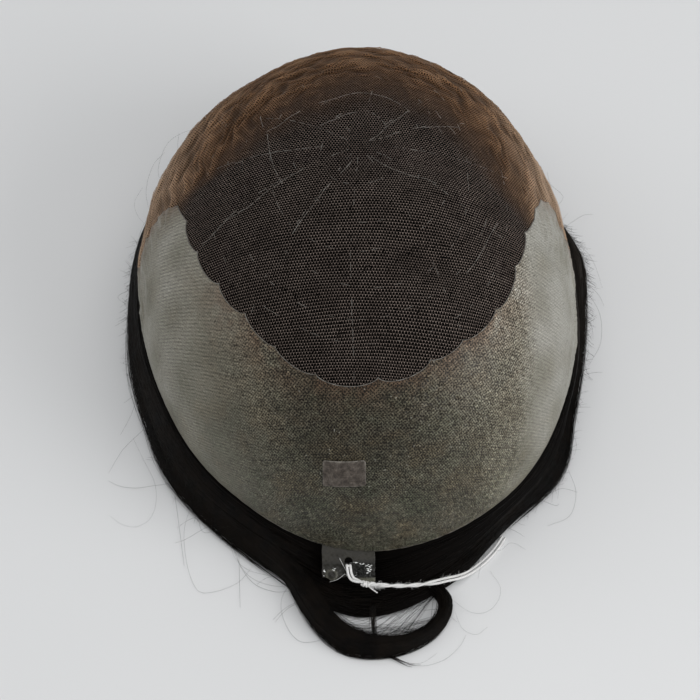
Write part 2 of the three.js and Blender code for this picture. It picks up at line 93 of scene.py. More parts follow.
# Loose hairs lying beside the piece: height at the middle, then x, y along each.
LOOSE = [
    (1.2, [(3.7, -129.1), (10.8, -130.8), (14.7, -133.2), (17.8, -133.7), (22.2, -133.5), (27.9, -131.1), (32.5, -126.6), (34.6, -122.7)]),
    (1.6, [(6.0, -129.4), (12.6, -131.8), (16.6, -133.0), (20.4, -132.4), (25.0, -129.0)]),
    (1.0, [(-23.7, -105.2), (-25.9, -108.8), (-26.5, -112.8), (-25.7, -117.1), (-22.8, -122.7), (-18.9, -125.5), (-13.0, -124.5), (-8.5, -122.0)]),
    (0.8, [(-80.6, -48.6), (-76.2, -57.4), (-71.8, -66.2), (-70.7, -73.8), (-72.2, -80.1), (-76.7, -83.3), (-82.0, -82.3), (-86.2, -79.0)]),
    (1.0, [(-65.8, -63.9), (-64.8, -69.0), (-62.7, -80.2), (-59.6, -97.9)]),
    (0.8, [(-56.9, -74.4), (-59.1, -78.1), (-60.3, -86.5), (-58.3, -98.9), (-54.6, -107.0), (-50.0, -107.7), (-43.6, -105.5), (-40.0, -102.9), (-36.7, -98.2)]),
    (1.0, [(-42.1, -88.6), (-41.4, -91.8), (-40.7, -103.0), (-40.1, -113.0)]),
    (1.0, [(-42.3, -93.1), (-40.2, -99.0), (-35.4, -104.9), (-28.7, -107.4), (-24.0, -107.0)]),
    (1.4, [(-43.4, -91.6), (-41.0, -97.4), (-37.0, -102.4), (-31.0, -105.0), (-24.4, -105.6)]),
    (1.0, [(-45.9, -87.8), (-44.2, -90.8), (-42.1, -96.0), (-37.3, -99.9), (-28.9, -101.9), (-25.7, -102.7)]),
    (2.0, [(-83.6, -16.6), (-84.0, -25.2), (-81.0, -32.2), (-81.9, -39.0), (-85.2, -46.8)]),
    (2.0, [(-74.1, -43.5), (-76.9, -46.0), (-82.0, -51.5), (-84.5, -54.9), (-88.1, -62.1)]),
    (0.8, [(-66.3, -67.0), (-72.2, -67.7), (-77.8, -68.5), (-83.6, -67.7), (-88.0, -65.4)]),
    (6.0, [(-69.2, 73.7), (-71.9, 78.7), (-72.9, 92.6)]),
    (6.0, [(-73.8, 58.7), (-79.0, 67.4), (-76.7, 84.1), (-69.5, 92.6), (-65.2, 92.6)]),
    (6.0, [(-80.7, 47.1), (-83.1, 58.7), (-81.8, 73.7), (-78.0, 82.3)]),
    (6.0, [(-81.8, 41.3), (-85.7, 47.1), (-87.4, 54.8), (-85.4, 64.7)]),
    (6.0, [(74.9, 49.9), (78.0, 55.7), (73.9, 63.6), (73.5, 72.5)]),
    (6.0, [(76.6, 35.5), (83.7, 31.4), (88.0, 25.3), (90.7, 16.6)]),
    (6.0, [(75.7, 38.4), (80.1, 43.1), (86.0, 49.3), (89.9, 51.3)]),
    (3.0, [(83.5, 13.7), (88.2, 3.7), (87.9, -8.6), (82.8, -18.1)]),
    (1.5, [(72.3, -61.7), (74.4, -70.4), (71.7, -79.2), (64.0, -82.7)]),
    (1.0, [(30.4, -110.6), (36.2, -114.9), (41.5, -114.9), (45.6, -110.9), (46.6, -105.5), (43.5, -99.6)]),
    (1.0, [(31.2, -114.9), (33.4, -120.6), (37.9, -122.7), (41.9, -119.8)]),
]  # fmt: skip
# Tie thread past the knot: azimuth, distance out past the rim, height.
THREAD_LINE = [
    (2.05, 10.7, 10.0), (3.5, 10.7, 9.0), (6.0, 10.8, 7.6), (9.2, 11.1, 6.4), (12.4, 11.3, 5.5),
    (15.2, 11.3, 4.6), (18.0, 11.2, 2.7), (20.8, 10.3, 0.9), (24.2, 8.9, 0.6), (27.0, 7.3, 0.6),
    (29.2, 5.7, 0.6),
]  # fmt: skip
# Tie thread from under the tab up through its hole to the knot: across, from the rim, above the tab.
LOOP_LINE = [
    (-4.05, 4.6, -2.1), (-4.05, 4.75, -1.2), (-4.03, 4.7, -0.4), (-3.98, 5.1, 0.42), (-3.85, 6.1, 0.7),
    (-3.55, 7.7, 0.85), (-2.8, 9.15, 0.95), (-1.3, 9.9, 1.05), (0.1, 10.3, 1.15),
]  # fmt: skip
THREAD_RADIUS, THREAD_APART = 0.4, 0.56
KNOT_AT = (1.5, 10.9, 1.45)


# ---------------------------------------------------------------- small tools
def around(table, azimuth):
    """Smooth closed curve through evenly spaced values."""
    tab = np.asarray(table, float)
    n = len(tab)
    p = (np.asarray(azimuth, float) / 360 * n) % n
    i = np.floor(p).astype(int)
    u = p - i
    a, b, c, d = tab[(i - 1) % n], tab[i % n], tab[(i + 1) % n], tab[(i + 2) % n]
    return b + 0.5 * u * (c - a + u * (2 * a - 5 * b + 4 * c - d + u * (3 * (b - c) + d - a)))


def smooth(x, low, high):
    u = np.clip((np.asarray(x, float) - low) / (high - low), 0, 1)
    return u * u * (3 - 2 * u)


def unit(v):
    return v / np.maximum(np.linalg.norm(v, axis=-1, keepdims=True), 1e-12)


def through(points, n):
    """Catmull-Rom curve through points, n places evenly spaced along it."""
    p = np.asarray(points, float)
    q = np.vstack([2 * p[0] - p[1], p, 2 * p[-1] - p[-2]])
    u = np.linspace(0, len(p) - 1, max(400, 40 * len(p)))
    i = np.minimum(np.floor(u).astype(int), len(p) - 2)
    f = (u - i)[:, None]
    a, b, c, d = q[i], q[i + 1], q[i + 2], q[i + 3]
    fine = b + 0.5 * f * (c - a + f * (2 * a - 5 * b + 4 * c - d + f * (3 * (b - c) + d - a)))
    s = np.r_[0, np.cumsum(np.linalg.norm(np.diff(fine[:, :3], axis=0), axis=1))]
    at = np.linspace(0, s[-1], n)
    return np.stack([np.interp(at, s, fine[:, k]) for k in range(p.shape[1])], 1)


def wavy(x, y, seed, count=9, low=0.6, high=1.6):
    """Smooth seeded waves of about unit height, for slow unevenness."""
    r = np.random.default_rng(seed)
    total = np.zeros(np.broadcast(x, y).shape)
    for _ in range(count):
        turn, k, phase = r.uniform(0, 2 * np.pi), r.uniform(low, high), r.uniform(0, 2 * np.pi)
        total = total + np.sin(k * (x * np.cos(turn) + y * np.sin(turn)) + phase)
    return total / math.sqrt(count / 2) / 1.6


def polar(azimuth, radius, height):
    a = np.radians(azimuth)
    return np.stack(np.broadcast_arrays(radius * np.sin(a), -radius * np.cos(a), height), -1)


def dome(azimuth, down):
    radius, height = around(RIM_RADIUS, azimuth), around(RIM_HEIGHT, azimuth)
    turn = np.clip(down, 0, 1) * np.pi / 2
    out = radius * np.sin(turn) ** ROUND_ACROSS
    up = np.maximum(np.cos(turn), 0)
    p = polar(azimuth, out, height + (CROWN[2] - height) * up**ROUND_HEIGHT)
    p[..., 0] += CROWN[0] * up
    p[..., 1] += CROWN[1] * up
    return p


def dome_normal(azimuth, down):
    d = np.clip(down, 0.03, 0.985)
    turn = dome(azimuth + 0.5, d) - dome(azimuth - 0.5, d)
    fall = dome(azimuth, d + 0.01) - dome(azimuth, d - 0.01)
    return unit(np.cross(fall, turn))


MERIDIAN = np.linalg.norm(
    np.diff(dome(np.arange(0, 360, 5.0)[:, None], np.linspace(0, 1, 200)[None, :]), axis=1), axis=-1
).sum(1)


def meridian(azimuth):
    return around(MERIDIAN, azimuth)


def slack(azimuth, down, soft):
    """0 on the taut dark lace, 1 on the slack brown lace of the front."""
    start = np.interp(np.asarray(azimuth, float) % 360, *SLACK.T, left=1.2, right=1.2)
    return smooth(down - start, 0.0, soft)


def crumple(azimuth, down):
    """Uneven soft creases that run mostly along the front's edge, of about unit height."""
    x = np.radians(np.asarray(azimuth, float) % 360) * 78
    s = down * meridian(azimuth)
    s = s + 1.5 * wavy(x / 4.0, s / 3.0, 5)
    long = wavy(x / 6.5, s / 1.2, 6, 14)
    short = wavy(x / 4.2, s / 0.85, 7, 16)
    fine = wavy(x / 2.2, s / 0.45, 8, 16)
    return 0.45 * long + 0.8 * (0.5 - np.abs(short)) + 0.3 * fine


def fold_rise(azimuth, down):
    """The part's low folds, with the finer creases of slack lace between them."""
    az, t = np.broadcast_arrays(np.asarray(azimuth, float), np.asarray(down, float))
    rise = np.zeros(az.shape)
    for a, d, half in FOLDS:
        turn = np.abs((az - a + 540) % 360 - 180) / half
        rise += np.where(
            turn < 1, FOLD_RISE * np.cos(np.minimum(turn, 1) * np.pi / 2) * np.exp(-(((t - d) / FOLD_ACROSS) ** 2)), 0
        )
    reach = slack(az, t - 0.06, 0.15) * (1 - 0.7 * smooth(t, 0.94, 1.0))
    return 0.75 * rise + reach * (0.1 + 0.64 * crumple(az, t))


def dome_point(azimuth, down, height=0.0, folded=True):
    rise = fold_rise(azimuth, down) if folded else 0.0
    return dome(azimuth, down) + dome_normal(azimuth, down) * (np.asarray(rise + height)[..., None])


# ---------------------------------------------------------------- making pieces
ROOT = "root"


def piece(name, points, faces, material, replaces=(), values=None, uv=None, smooth_shade=True):
    """A mesh object from arrays: points in millimetres, faces as arrays of triangles and quads."""
    mesh = bpy.data.meshes.new(name)
    co = ((np.asarray(points, float) + PLACE) * 0.001).astype(np.float32)
    groups = [np.asarray(f, np.int32) for f in faces if len(f)]
    loops = np.concatenate([g.ravel() for g in groups])
    sizes = np.concatenate([np.full(len(g), g.shape[1], np.int32) for g in groups])
    mesh.vertices.add(len(co))
    mesh.vertices.foreach_set("co", co.ravel())
    mesh.loops.add(len(loops))
    mesh.loops.foreach_set("vertex_index", loops)
    mesh.polygons.add(len(sizes))
    mesh.polygons.foreach_set("loop_start", np.r_[0, np.cumsum(sizes)[:-1]].astype(np.int32))
    mesh.update(calc_edges=True)
    mesh.validate()
    mesh.polygons.foreach_set("use_smooth", np.full(len(mesh.polygons), smooth_shade))
    for key, value in (values or {}).items():
        mesh.attributes.new(key, "FLOAT", "POINT").data.foreach_set("value", np.asarray(value, np.float32))
    if uv is not None:
        layer = mesh.uv_layers.new(name="along")
        layer.data.foreach_set("uv", np.asarray(uv, np.float32)[loops].ravel())
    mesh.materials.append(material)
    mesh.update()
    obj = bpy.data.objects.new(name, mesh)
    bpy.context.scene.collection.objects.link(obj)
    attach(obj, ROOT)
    if replaces:
        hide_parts(*replaces)
    return obj


def grid_faces(rows, columns, wrap=False, start=0):
    """Quads of a grid of points stored row by row."""
    i, j = np.mgrid[0 : rows - 1, 0 : columns if wrap else columns - 1]
    k = (j + 1) % columns
    return start + np.stack([i * columns + j, i * columns + k, (i + 1) * columns + k, (i + 1) * columns + j], -1).reshape(-1, 4)


def carried_frame(line):
    """Tangent, side and up along a line, carried without twist."""
    way = unit(np.gradient(line, axis=0))
    side = np.zeros_like(way)
    ref = np.array([0.0, 0.0, 1.0]) if abs(way[0][2]) < 0.9 else np.array([1.0, 0.0, 0.0])
    s = unit(np.cross(way[0], ref))
    for i, w in enumerate(way):
        s = unit(s - w * (s @ w))
        side[i] = s
    return way, side, np.cross(side, way)


def tube(line, radius, sides=10, lobes=0, lobe=0.0, pitch=1.0):
    """Closed tube round a line; lobes give it the section of a twisted yarn."""
    line = np.asarray(line, float)
    n = len(line)
    _, side, up = carried_frame(line)
    s = np.r_[0, np.cumsum(np.linalg.norm(np.diff(line, axis=0), axis=1))]
    turn = np.linspace(0, 2 * np.pi, sides, endpoint=False)[None, :]
    r = np.broadcast_to(np.asarray(radius, float), (n,))[:, None]
    r = r * (1 + lobe * np.cos(lobes * (turn - 2 * np.pi * s[:, None] / pitch)) if lobes else np.ones_like(turn))
    ring = line[:, None] + r[..., None] * (np.cos(turn)[..., None] * side[:, None] + np.sin(turn)[..., None] * up[:, None])
    points = np.vstack([ring.reshape(-1, 3), line[:1], line[-1:]])
    k = np.arange(sides)
    first = np.stack([np.full(sides, n * sides), k, (k + 1) % sides], 1)
    last = np.stack([np.full(sides, n * sides + 1), (n - 1) * sides + (k + 1) % sides, (n - 1) * sides + k], 1)
    uv = np.vstack([
        np.stack(np.broadcast_arrays(s[:, None], turn * 3), -1).reshape(-1, 2), [[s[0], 0], [s[-1], 0]]
    ])  # fmt: skip
    return points, [grid_faces(n, sides, True)[:, ::-1], first[:, ::-1], last[:, ::-1]], uv


def joined(parts):
    """Several (points, faces, ...) into one."""
    points, tri, quad, at = [], [], [], 0
    for p, faces, *_ in parts:
        points.append(p)
        for f in faces:
            (tri if f.shape[1] == 3 else quad).append(f + at)
        at += len(p)
    return np.vstack(points), [np.vstack(x) for x in (tri, quad) if x]


def strands(paths, radii, sides=3):
    """Many closed thin tubes at once: paths (strand, place, xyz), radii (strand, place)."""
    many, n, _ = paths.shape
    way = unit(np.gradient(paths, axis=1))
    lean = np.abs(way).max(1).argmin(1)
    ref = np.eye(3)[lean][:, None, :]
    side = unit(np.cross(way, ref))
    up = np.cross(side, way)
    turn = np.linspace(0, 2 * np.pi, sides, endpoint=False)
    ring = paths[:, :, None, :] + radii[:, :, None, None] * (
        np.cos(turn)[:, None] * side[:, :, None, :] + np.sin(turn)[:, None] * up[:, :, None, :]
    )
    base = (np.arange(many) * n * sides)[:, None, None]
    one = grid_faces(n, sides, True)[:, ::-1]
    quads = (base + one[None]).reshape(-1, 4)
    start = np.arange(sides)[None] + base[:, :, 0]
    caps = np.concatenate([start, (start + (n - 1) * sides)[:, ::-1]])
    return ring.reshape(-1, 3), [quads, caps]


# ---------------------------------------------------------------- materials
class Look:
    """A procedural material: a Principled shader and the nodes that feed it."""

    def __init__(self, name, **settings):
        self.material = bpy.data.materials.new(name)
        self.material.use_nodes = True
        self.tree = self.material.node_tree
        self.shader = self.tree.nodes["Principled BSDF"]
        for key, value in settings.items():
            self.shader.inputs[key.replace("_", " ")].default_value = value

    def node(self, kind, **settings):
        n = self.tree.nodes.new(kind)
        for key, value in settings.items():
            setattr(n, key, value)
        return n

    def link(self, a, b):
        self.tree.links.new(a, b)

    def place(self, scale=(1, 1, 1), uv=False):
        """Object coordinates in metres, or the 'along' map, scaled."""
        coord = self.node("ShaderNodeTexCoord")
        mapping = self.node("ShaderNodeMapping")
        mapping.inputs["Scale"].default_value = scale
        self.link(coord.outputs["UV" if uv else "Object"], mapping.inputs["Vector"])
        return mapping.outputs["Vector"]

    def right_side_sheen(self):
        """1 on the hair along the part's right side, which is painted a lighter brown as sheen from the right lamp, 0
        elsewhere.
        """
        part = self.node("ShaderNodeSeparateXYZ")
        self.link(self.place(), part.inputs["Vector"])
        beside = self.spread(part.outputs["X"], 0.068, 0.08)
        return self.maths("MULTIPLY", beside, self.spread(part.outputs["Y"], -0.03, 0.01))

    def noise(self, where, scale, detail=3.0, roughness=0.55, distortion=0.0):
        n = self.node("ShaderNodeTexNoise")
        n.inputs["Scale"].default_value = scale
        n.inputs["Detail"].default_value = detail
        n.inputs["Roughness"].default_value = roughness
        n.inputs["Distortion"].default_value = distortion
        self.link(where, n.inputs["Vector"])
        return n.outputs["Fac"]

    def value(self, name):
        return self.node("ShaderNodeAttribute", attribute_name=name).outputs["Fac"]

    def ramp(self, fac, stops, interpolation="LINEAR"):
        n = self.node("ShaderNodeValToRGB")
        n.color_ramp.interpolation = interpolation
        while len(n.color_ramp.elements) < len(stops):
            n.color_ramp.elements.new(0.5)
        for e, (at, colour) in zip(n.color_ramp.elements, stops):
            e.position = at
            e.color = (*colour, 1) if hasattr(colour, "__len__") else (colour, colour, colour, 1)
        self.link(fac, n.inputs["Fac"])
        return n.outputs["Color"]

    def spread(self, fac, low, high, to_low=0.0, to_high=1.0):
        n = self.node("ShaderNodeMapRange", interpolation_type="SMOOTHSTEP")
        for key, v in (("From Min", low), ("From Max", high), ("To Min", to_low), ("To Max", to_high)):
            n.inputs[key].default_value = v
        self.link(fac, n.inputs["Value"])
        return n.outputs["Result"]

    def maths(self, kind, a, b=None):
        n = self.node("ShaderNodeMath", operation=kind)
        for socket, v in zip(n.inputs, (a, b)):
            if v is None:
                continue
            if isinstance(v, (int, float)):
                socket.default_value = v
            else:
                self.link(v, socket)
        return n.outputs["Value"]

    def mix(self, fac, a, b, blend="MIX"):
        n = self.node("ShaderNodeMix", data_type="RGBA", blend_type=blend)
        sockets = {s.identifier: s for s in n.inputs}
        for key, v in (("Factor_Float", fac), ("A_Color", a), ("B_Color", b)):
            if isinstance(v, bpy.types.NodeSocket):
                self.link(v, sockets[key])
            elif hasattr(v, "__len__"):
                sockets[key].default_value = (*v, 1)
            else:
                sockets[key].default_value = v
        return {s.identifier: s for s in n.outputs}["Result_Color"]

    def colour(self, socket):
        self.link(socket, self.shader.inputs["Base Color"])

    def roughness(self, socket):
        self.link(socket, self.shader.inputs["Roughness"])

    def bump(self, height, strength, distance):
        n = self.node("ShaderNodeBump")
        n.inputs["Strength"].default_value = strength
        n.inputs["Distance"].default_value = distance
        self.link(height, n.inputs["Height"])
        self.link(n.outputs["Normal"], self.shader.inputs["Normal"])


def lace_look():
    m = Look("lace_thread", Roughness=0.65, Specular_IOR_Level=0.14, Sheen_Weight=0.08, Sheen_Roughness=0.5)
    m.shader.inputs["Sheen Tint"].default_value = (0.8, 0.6, 0.42, 1)
    where = m.place()
    tone = m.noise(where, 110.0, 4.0, 0.6)
    fine = m.noise(where, 1500.0, 2.0)
    grey = m.ramp(tone, [(0.3, (0.145, 0.113, 0.096)), (0.7, (0.262, 0.209, 0.179))])
    # the slack front's brown is painted lighter on the crests of its creases and darker in their valleys: painted
    # highlight and painted shade
    brown = m.ramp(m.value("crease_shading"), [(0.0, (0.056, 0.0278, 0.0125)), (0.5, (0.142, 0.0725, 0.034)), (1.0, (0.3, 0.168, 0.087))])
    # towards the temples a lighter brown is mixed in: painted light, stronger on the right
    base = m.mix(m.value("brown"), grey, m.mix(m.value("light"), brown, m.ramp(m.value("crease_shading"), [(0.0, (0.24, 0.158, 0.1)), (0.5, (0.42, 0.29, 0.194)), (1.0, (0.6, 0.43, 0.3))])))
    base = m.mix(1.0, base, m.ramp(m.value("knot"), [(0.0, 0.28), (0.5, 1.0), (1.0, 1.8)]), "MULTIPLY")
    m.colour(m.mix(0.6, base, m.ramp(fine, [(0.3, 0.45), (0.72, 1.15)]), "MULTIPLY"))
    m.bump(fine, 0.4, 0.00008)
    return m.material


def ground_look():
    m = Look("lace_ground", Roughness=0.8, Specular_IOR_Level=0.03)
    where = m.place((1, 1, 0.3))
    dark = m.ramp(m.noise(where, 900.0, 3.0), [(0.35, (0.0012, 0.001, 0.0009)), (0.75, (0.004, 0.0031, 0.0026))])
    m.colour(m.mix(m.value("brown"), dark, (0.03, 0.0165, 0.0095)))
    m.bump(m.noise(where, 1600.0, 2.0), 0.5, 0.0002)
    return m.material


def film_look():
    m = Look("film", Specular_IOR_Level=0.2, Coat_Weight=0.04, Coat_Roughness=0.35, IOR=1.47)
    m.shader.inputs["Sheen Weight"].default_value = 0.06
    m.shader.inputs["Sheen Roughness"].default_value = 0.4
    m.shader.inputs["Sheen Tint"].default_value = (0.95, 0.95, 0.9, 1)
    where = m.place()
    broad = m.noise(where, 42.0, 4.0, 0.62)
    patch = m.noise(where, 150.0, 3.0, 0.6)
    grain = m.noise(where, 2000.0, 2.0, 0.7)
    base = m.ramp(broad, [(0.3, (0.05, 0.048, 0.034)), (0.5, (0.068, 0.067, 0.05)), (0.7, (0.094, 0.092, 0.07))])
    hue = m.noise(where, 95.0, 2.0, 0.6)
    base = m.mix(1.0, base, m.ramp(hue, [(0.34, (0.95, 1.02, 0.97)), (0.5, (1.0, 1.0, 1.0)), (0.66, (1.1, 0.98, 0.88))]), "MULTIPLY")
    # painted light: the band is painted lighter on its sides, more on the right, where the right lamp falls; the stain
    # and the pits lighten with it
    painted_side_light = m.value("painted_side_light")
    base = m.mix(painted_side_light, base, m.ramp(painted_side_light, [(0.4, (0.27, 0.255, 0.2)), (0.95, (0.3, 0.294, 0.262))]))
    stain = m.maths("MULTIPLY", m.value("stain"), m.spread(patch, 0.28, 0.6, 0.25, 1.0))
    base = m.mix(stain, base, m.mix(painted_side_light, (0.08, 0.05, 0.031), (0.19, 0.138, 0.1)))
    base = m.mix(1.0, base, m.ramp(m.value("tone"), [(0.0, 0.45), (0.5, 0.95), (1.0, 1.8)]), "MULTIPLY")
    speckle = m.spread(m.value("calm"), 0.0, 1.0, 1.0, 0.24)
    base = m.mix(speckle, base, m.ramp(grain, [(0.34, (0.2, 0.13, 0.07)), (0.66, (1.84, 1.84, 1.8))]), "MULTIPLY")
    # the rows of the lace show through the paler sides as faint lines
    weft = m.node("ShaderNodeSeparateXYZ")
    m.link(m.place(uv=True), weft.inputs["Vector"])
    sway = m.noise(m.place((0.16, 0.16, 1), uv=True), 1.0, 2.0)
    lean = m.maths("MULTIPLY", m.maths("MINIMUM", weft.outputs["X"], 0.0), -1.5)
    turn = m.maths("ADD", m.maths("MULTIPLY", weft.outputs["Y"], 4.7), m.maths("ADD", lean, m.maths("MULTIPLY", sway, 5.0)))
    line = m.maths("SINE", turn)
    broken = m.spread(m.noise(m.place((0.22, 0.8, 1), uv=True), 1.0, 3.0, 0.6), 0.36, 0.66)
    faint = m.maths("MULTIPLY", m.maths("MULTIPLY", m.value("rows"), broken), 0.42)
    base = m.mix(1.0, base, m.maths("ADD", m.maths("MULTIPLY", line, faint), 1.0), "MULTIPLY")
    # and its holes through the rest, in crossing rows
    one = m.maths("SINE", m.maths("ADD", m.maths("MULTIPLY", weft.outputs["X"], 4.9), m.maths("MULTIPLY", sway, 7.0)))
    two = m.maths("SINE", m.maths("ADD", m.maths("MULTIPLY", weft.outputs["Y"], 5.6), m.maths("MULTIPLY", sway, 6.0)))
    dark = m.maths("MAXIMUM", m.maths("MULTIPLY", one, two), 0.0)
    holes = m.maths("MAXIMUM", m.maths("ADD", m.maths("MULTIPLY", dark, -1.6), 1.32), 0.04)
    base = m.mix(speckle, base, holes, "MULTIPLY")
    pit = m.maths("MULTIPLY", m.spread(m.value("pit"), 0.12, 0.8), 0.9)
    base = m.mix(pit, base, m.mix(painted_side_light, (0.006, 0.0046, 0.003), (0.026, 0.0165, 0.0085)))
    # painted glints: light specks at some corners of the lattice
    glint = m.spread(m.value("glint"), 0.3, 0.9)
    m.colour(m.mix(glint, base, (0.4, 0.39, 0.34)))
    m.roughness(m.spread(patch, 0.25, 0.75, 0.36, 0.55))
    m.bump(grain, 0.35, 0.0001)
    return m.material


def edge_look():
    m = Look("film_edge", Specular_IOR_Level=0.5, Coat_Weight=0.3, Coat_Roughness=0.25)
    tone = m.noise(m.place(), 420.0, 4.0, 0.7)
    # lighter grey in patches: partly the whitish flaking of the cut edge, partly painted highlight where the edge
    # catches light
    m.colour(m.ramp(tone, [(0.3, (0.06, 0.052, 0.042)), (0.55, (0.14, 0.13, 0.112)), (0.75, (0.27, 0.26, 0.23))]))
    m.roughness(m.spread(tone, 0.3, 0.7, 0.3, 0.55))
    m.bump(tone, 0.4, 0.0001)
    return m.material


def tab_look():
    m = Look("tab_film", Specular_IOR_Level=0.22, Coat_Weight=0.08, Coat_Roughness=0.06, IOR=1.46)
    where = m.place()
    haze = m.noise(where, 300.0, 4.0, 0.65)
    fine = m.noise(where, 1500.0, 3.0, 0.6)
    clear = m.maths("MULTIPLY", m.value("clear"), m.spread(haze, 0.25, 0.6, 0.6, 1.0))
    base = m.ramp(haze, [(0.3, (0.018, 0.0162, 0.0125)), (0.7, (0.036, 0.033, 0.026))])
    base = m.mix(clear, base, (0.005, 0.0052, 0.004))
    base = m.mix(m.value("milky_and_curl_highlight"), base, m.ramp(fine, [(0.3, (0.075, 0.074, 0.056)), (0.7, (0.16, 0.157, 0.125))]))
    # painted glints on the creases
    m.colour(m.mix(m.spread(m.value("glint"), 0.3, 0.8), base, (0.85, 0.86, 0.84)))
    m.roughness(m.spread(haze, 0.3, 0.7, 0.12, 0.34))
    m.bump(fine, 0.25, 0.0001)
    return m.material


def sticker_look():
    m = Look("sticker", Roughness=0.48, Specular_IOR_Level=0.25, Coat_Weight=0.08, Coat_Roughness=0.25)
    where = m.place()
    tone = m.noise(where, 520.0, 4.0, 0.7)
    grain = m.noise(where, 1900.0, 2.0, 0.6)
    base = m.ramp(tone, [(0.3, (0.036, 0.028, 0.022)), (0.5, (0.074, 0.06, 0.049)), (0.72, (0.15, 0.127, 0.106))])
    base = m.mix(0.7, base, m.ramp(grain, [(0.3, 0.35), (0.7, 1.25)]), "MULTIPLY")
    # painted highlight: a lighter border, strongest along the upper edge
    m.colour(m.mix(m.maths("MULTIPLY", m.value("rim"), m.spread(tone, 0.3, 0.6)), base, (0.3, 0.28, 0.245)))
    m.bump(grain, 0.3, 0.0001)
    return m.material


def hair_look():
    m = Look("hair", Roughness=0.4, Specular_IOR_Level=0.035)
    where = m.place((0.012, 2.2, 1), uv=True)
    streak = m.noise(where, 1.0, 4.0, 0.6, 0.2)
    black = m.ramp(streak, [(0.3, (0.0009, 0.0006, 0.0004)), (0.6, (0.0021, 0.0014, 0.001)), (0.85, (0.0075, 0.0045, 0.0028))])
    brown = m.ramp(streak, [(0.3, (0.01, 0.008, 0.0064)), (0.75, (0.026, 0.0215, 0.0178))])
    # painted sheen: the hair on the right side is painted a lit brown
    m.colour(m.mix(m.right_side_sheen(), black, brown))
    m.roughness(m.spread(streak, 0.3, 0.75, 0.52, 0.34))
    m.bump(streak, 0.5, 0.0003)
    return m.material


def strand_look():
    m = Look("hair_strand", Roughness=0.38, Specular_IOR_Level=0.13)
    tone = m.noise(m.place((1, 1, 0.4)), 220.0, 3.0)
    black = m.ramp(tone, [(0.35, (0.002, 0.0014, 0.001)), (0.7, (0.008, 0.0052, 0.0033))])
    # painted sheen: the strands on the right side are painted a lit brown
    m.colour(m.mix(m.right_side_sheen(), black, m.ramp(tone, [(0.3, (0.012, 0.0097, 0.0078)), (0.75, (0.028, 0.0232, 0.0192))])))
    m.roughness(m.spread(tone, 0.3, 0.7, 0.32, 0.5))
    return m.material


def thread_look():
    m = Look("thread", Roughness=0.85, Specular_IOR_Level=0.2, Sheen_Weight=0.4, Sheen_Roughness=0.4)
    fibre = m.noise(m.place((0.5, 2.0, 1), uv=True), 2.2, 4.0, 0.65)
    m.colour(m.ramp(fibre, [(0.3, (0.7, 0.69, 0.67)), (0.6, (0.89, 0.885, 0.875)), (0.8, (0.95, 0.95, 0.945))]))
    m.bump(fibre, 0.5, 0.0002)
    return m.material


def guide_look():
    m = Look("guide_thread", Roughness=0.6, Specular_IOR_Level=0.3)
    tone = m.noise(m.place(), 600.0, 3.0)
    m.colour(m.ramp(tone, [(0.3, (0.13, 0.118, 0.104)), (0.7, (0.33, 0.313, 0.284))]))
    m.bump(tone, 0.3, 0.0001)
    return m.material


def floor_look():
    m = Look("table", Roughness=0.75, Specular_IOR_Level=0.2)
    tone = m.noise(m.place(), 2.4, 3.0)
    m.colour(m.ramp(tone, [(0.3, (0.738, 0.745, 0.749)), (0.7, (0.774, 0.779, 0.782))]))
    return m.material


LACE, GROUND, FILM, EDGE = lace_look(), ground_look(), film_look(), edge_look()
TAB, STICKER, HAIR, STRAND = tab_look(), sticker_look(), hair_look(), strand_look()
THREAD, GUIDE, TABLE = thread_look(), guide_look(), floor_look()

# ---------------------------------------------------------------- camera
camera = bpy.data.objects.new("camera", bpy.data.cameras.new("camera"))
bpy.context.scene.collection.objects.link(camera)
camera.data.sensor_width = 36.0
camera.data.lens = 83.4667
camera.data.clip_start, camera.data.clip_end = 0.01, 50.0
RIGHT, UP, AHEAD = (0.99998, 0.0034, -0.00525), (-0.00002, 0.8409, 0.54119), (-0.00625, 0.54118, -0.84089)
camera.matrix_world = Matrix([
    [RIGHT[k], UP[k], -AHEAD[k], (1.04377e-3, -318.67536e-3, 500.23228e-3)[k]] for k in range(3)
] + [[0, 0, 0, 1]])  # fmt: skip
bpy.context.scene.camera = camera

# ---------------------------------------------------------------- tie thread
tab_out = np.array([0.0, -math.cos(TAB_SLOPE), -math.sin(TAB_SLOPE)])
tab_up = np.array([0.0, -math.sin(TAB_SLOPE), math.cos(TAB_SLOPE)])
tab_root = dome(np.array(np.degrees(TAB_HOLE[0] / 98.3)), np.array(1.0))
tab_root[0], tab_root[1] = 0.0, tab_root[1] - 0.35


def tab_point(across, along, above):
    across, along, above = np.broadcast_arrays(*(np.asarray(v, float) for v in (across, along, above)))
    return tab_root + across[..., None] * np.array([1.0, 0, 0]) + along[..., None] * tab_out + above[..., None] * tab_up


def thread_pair():
    """Middle line of the thread pair, from under the tab to where it passes under the hair."""
    loop = [tab_point(*p) for p in LOOP_LINE]
    knot = [tab_point(1.7, 10.95, 1.3)]
    az, out, height = np.array(THREAD_LINE).T
    rest = list(polar(az, around(RIM_RADIUS, az) + out, height))
    return through(loop + knot + rest, 640)


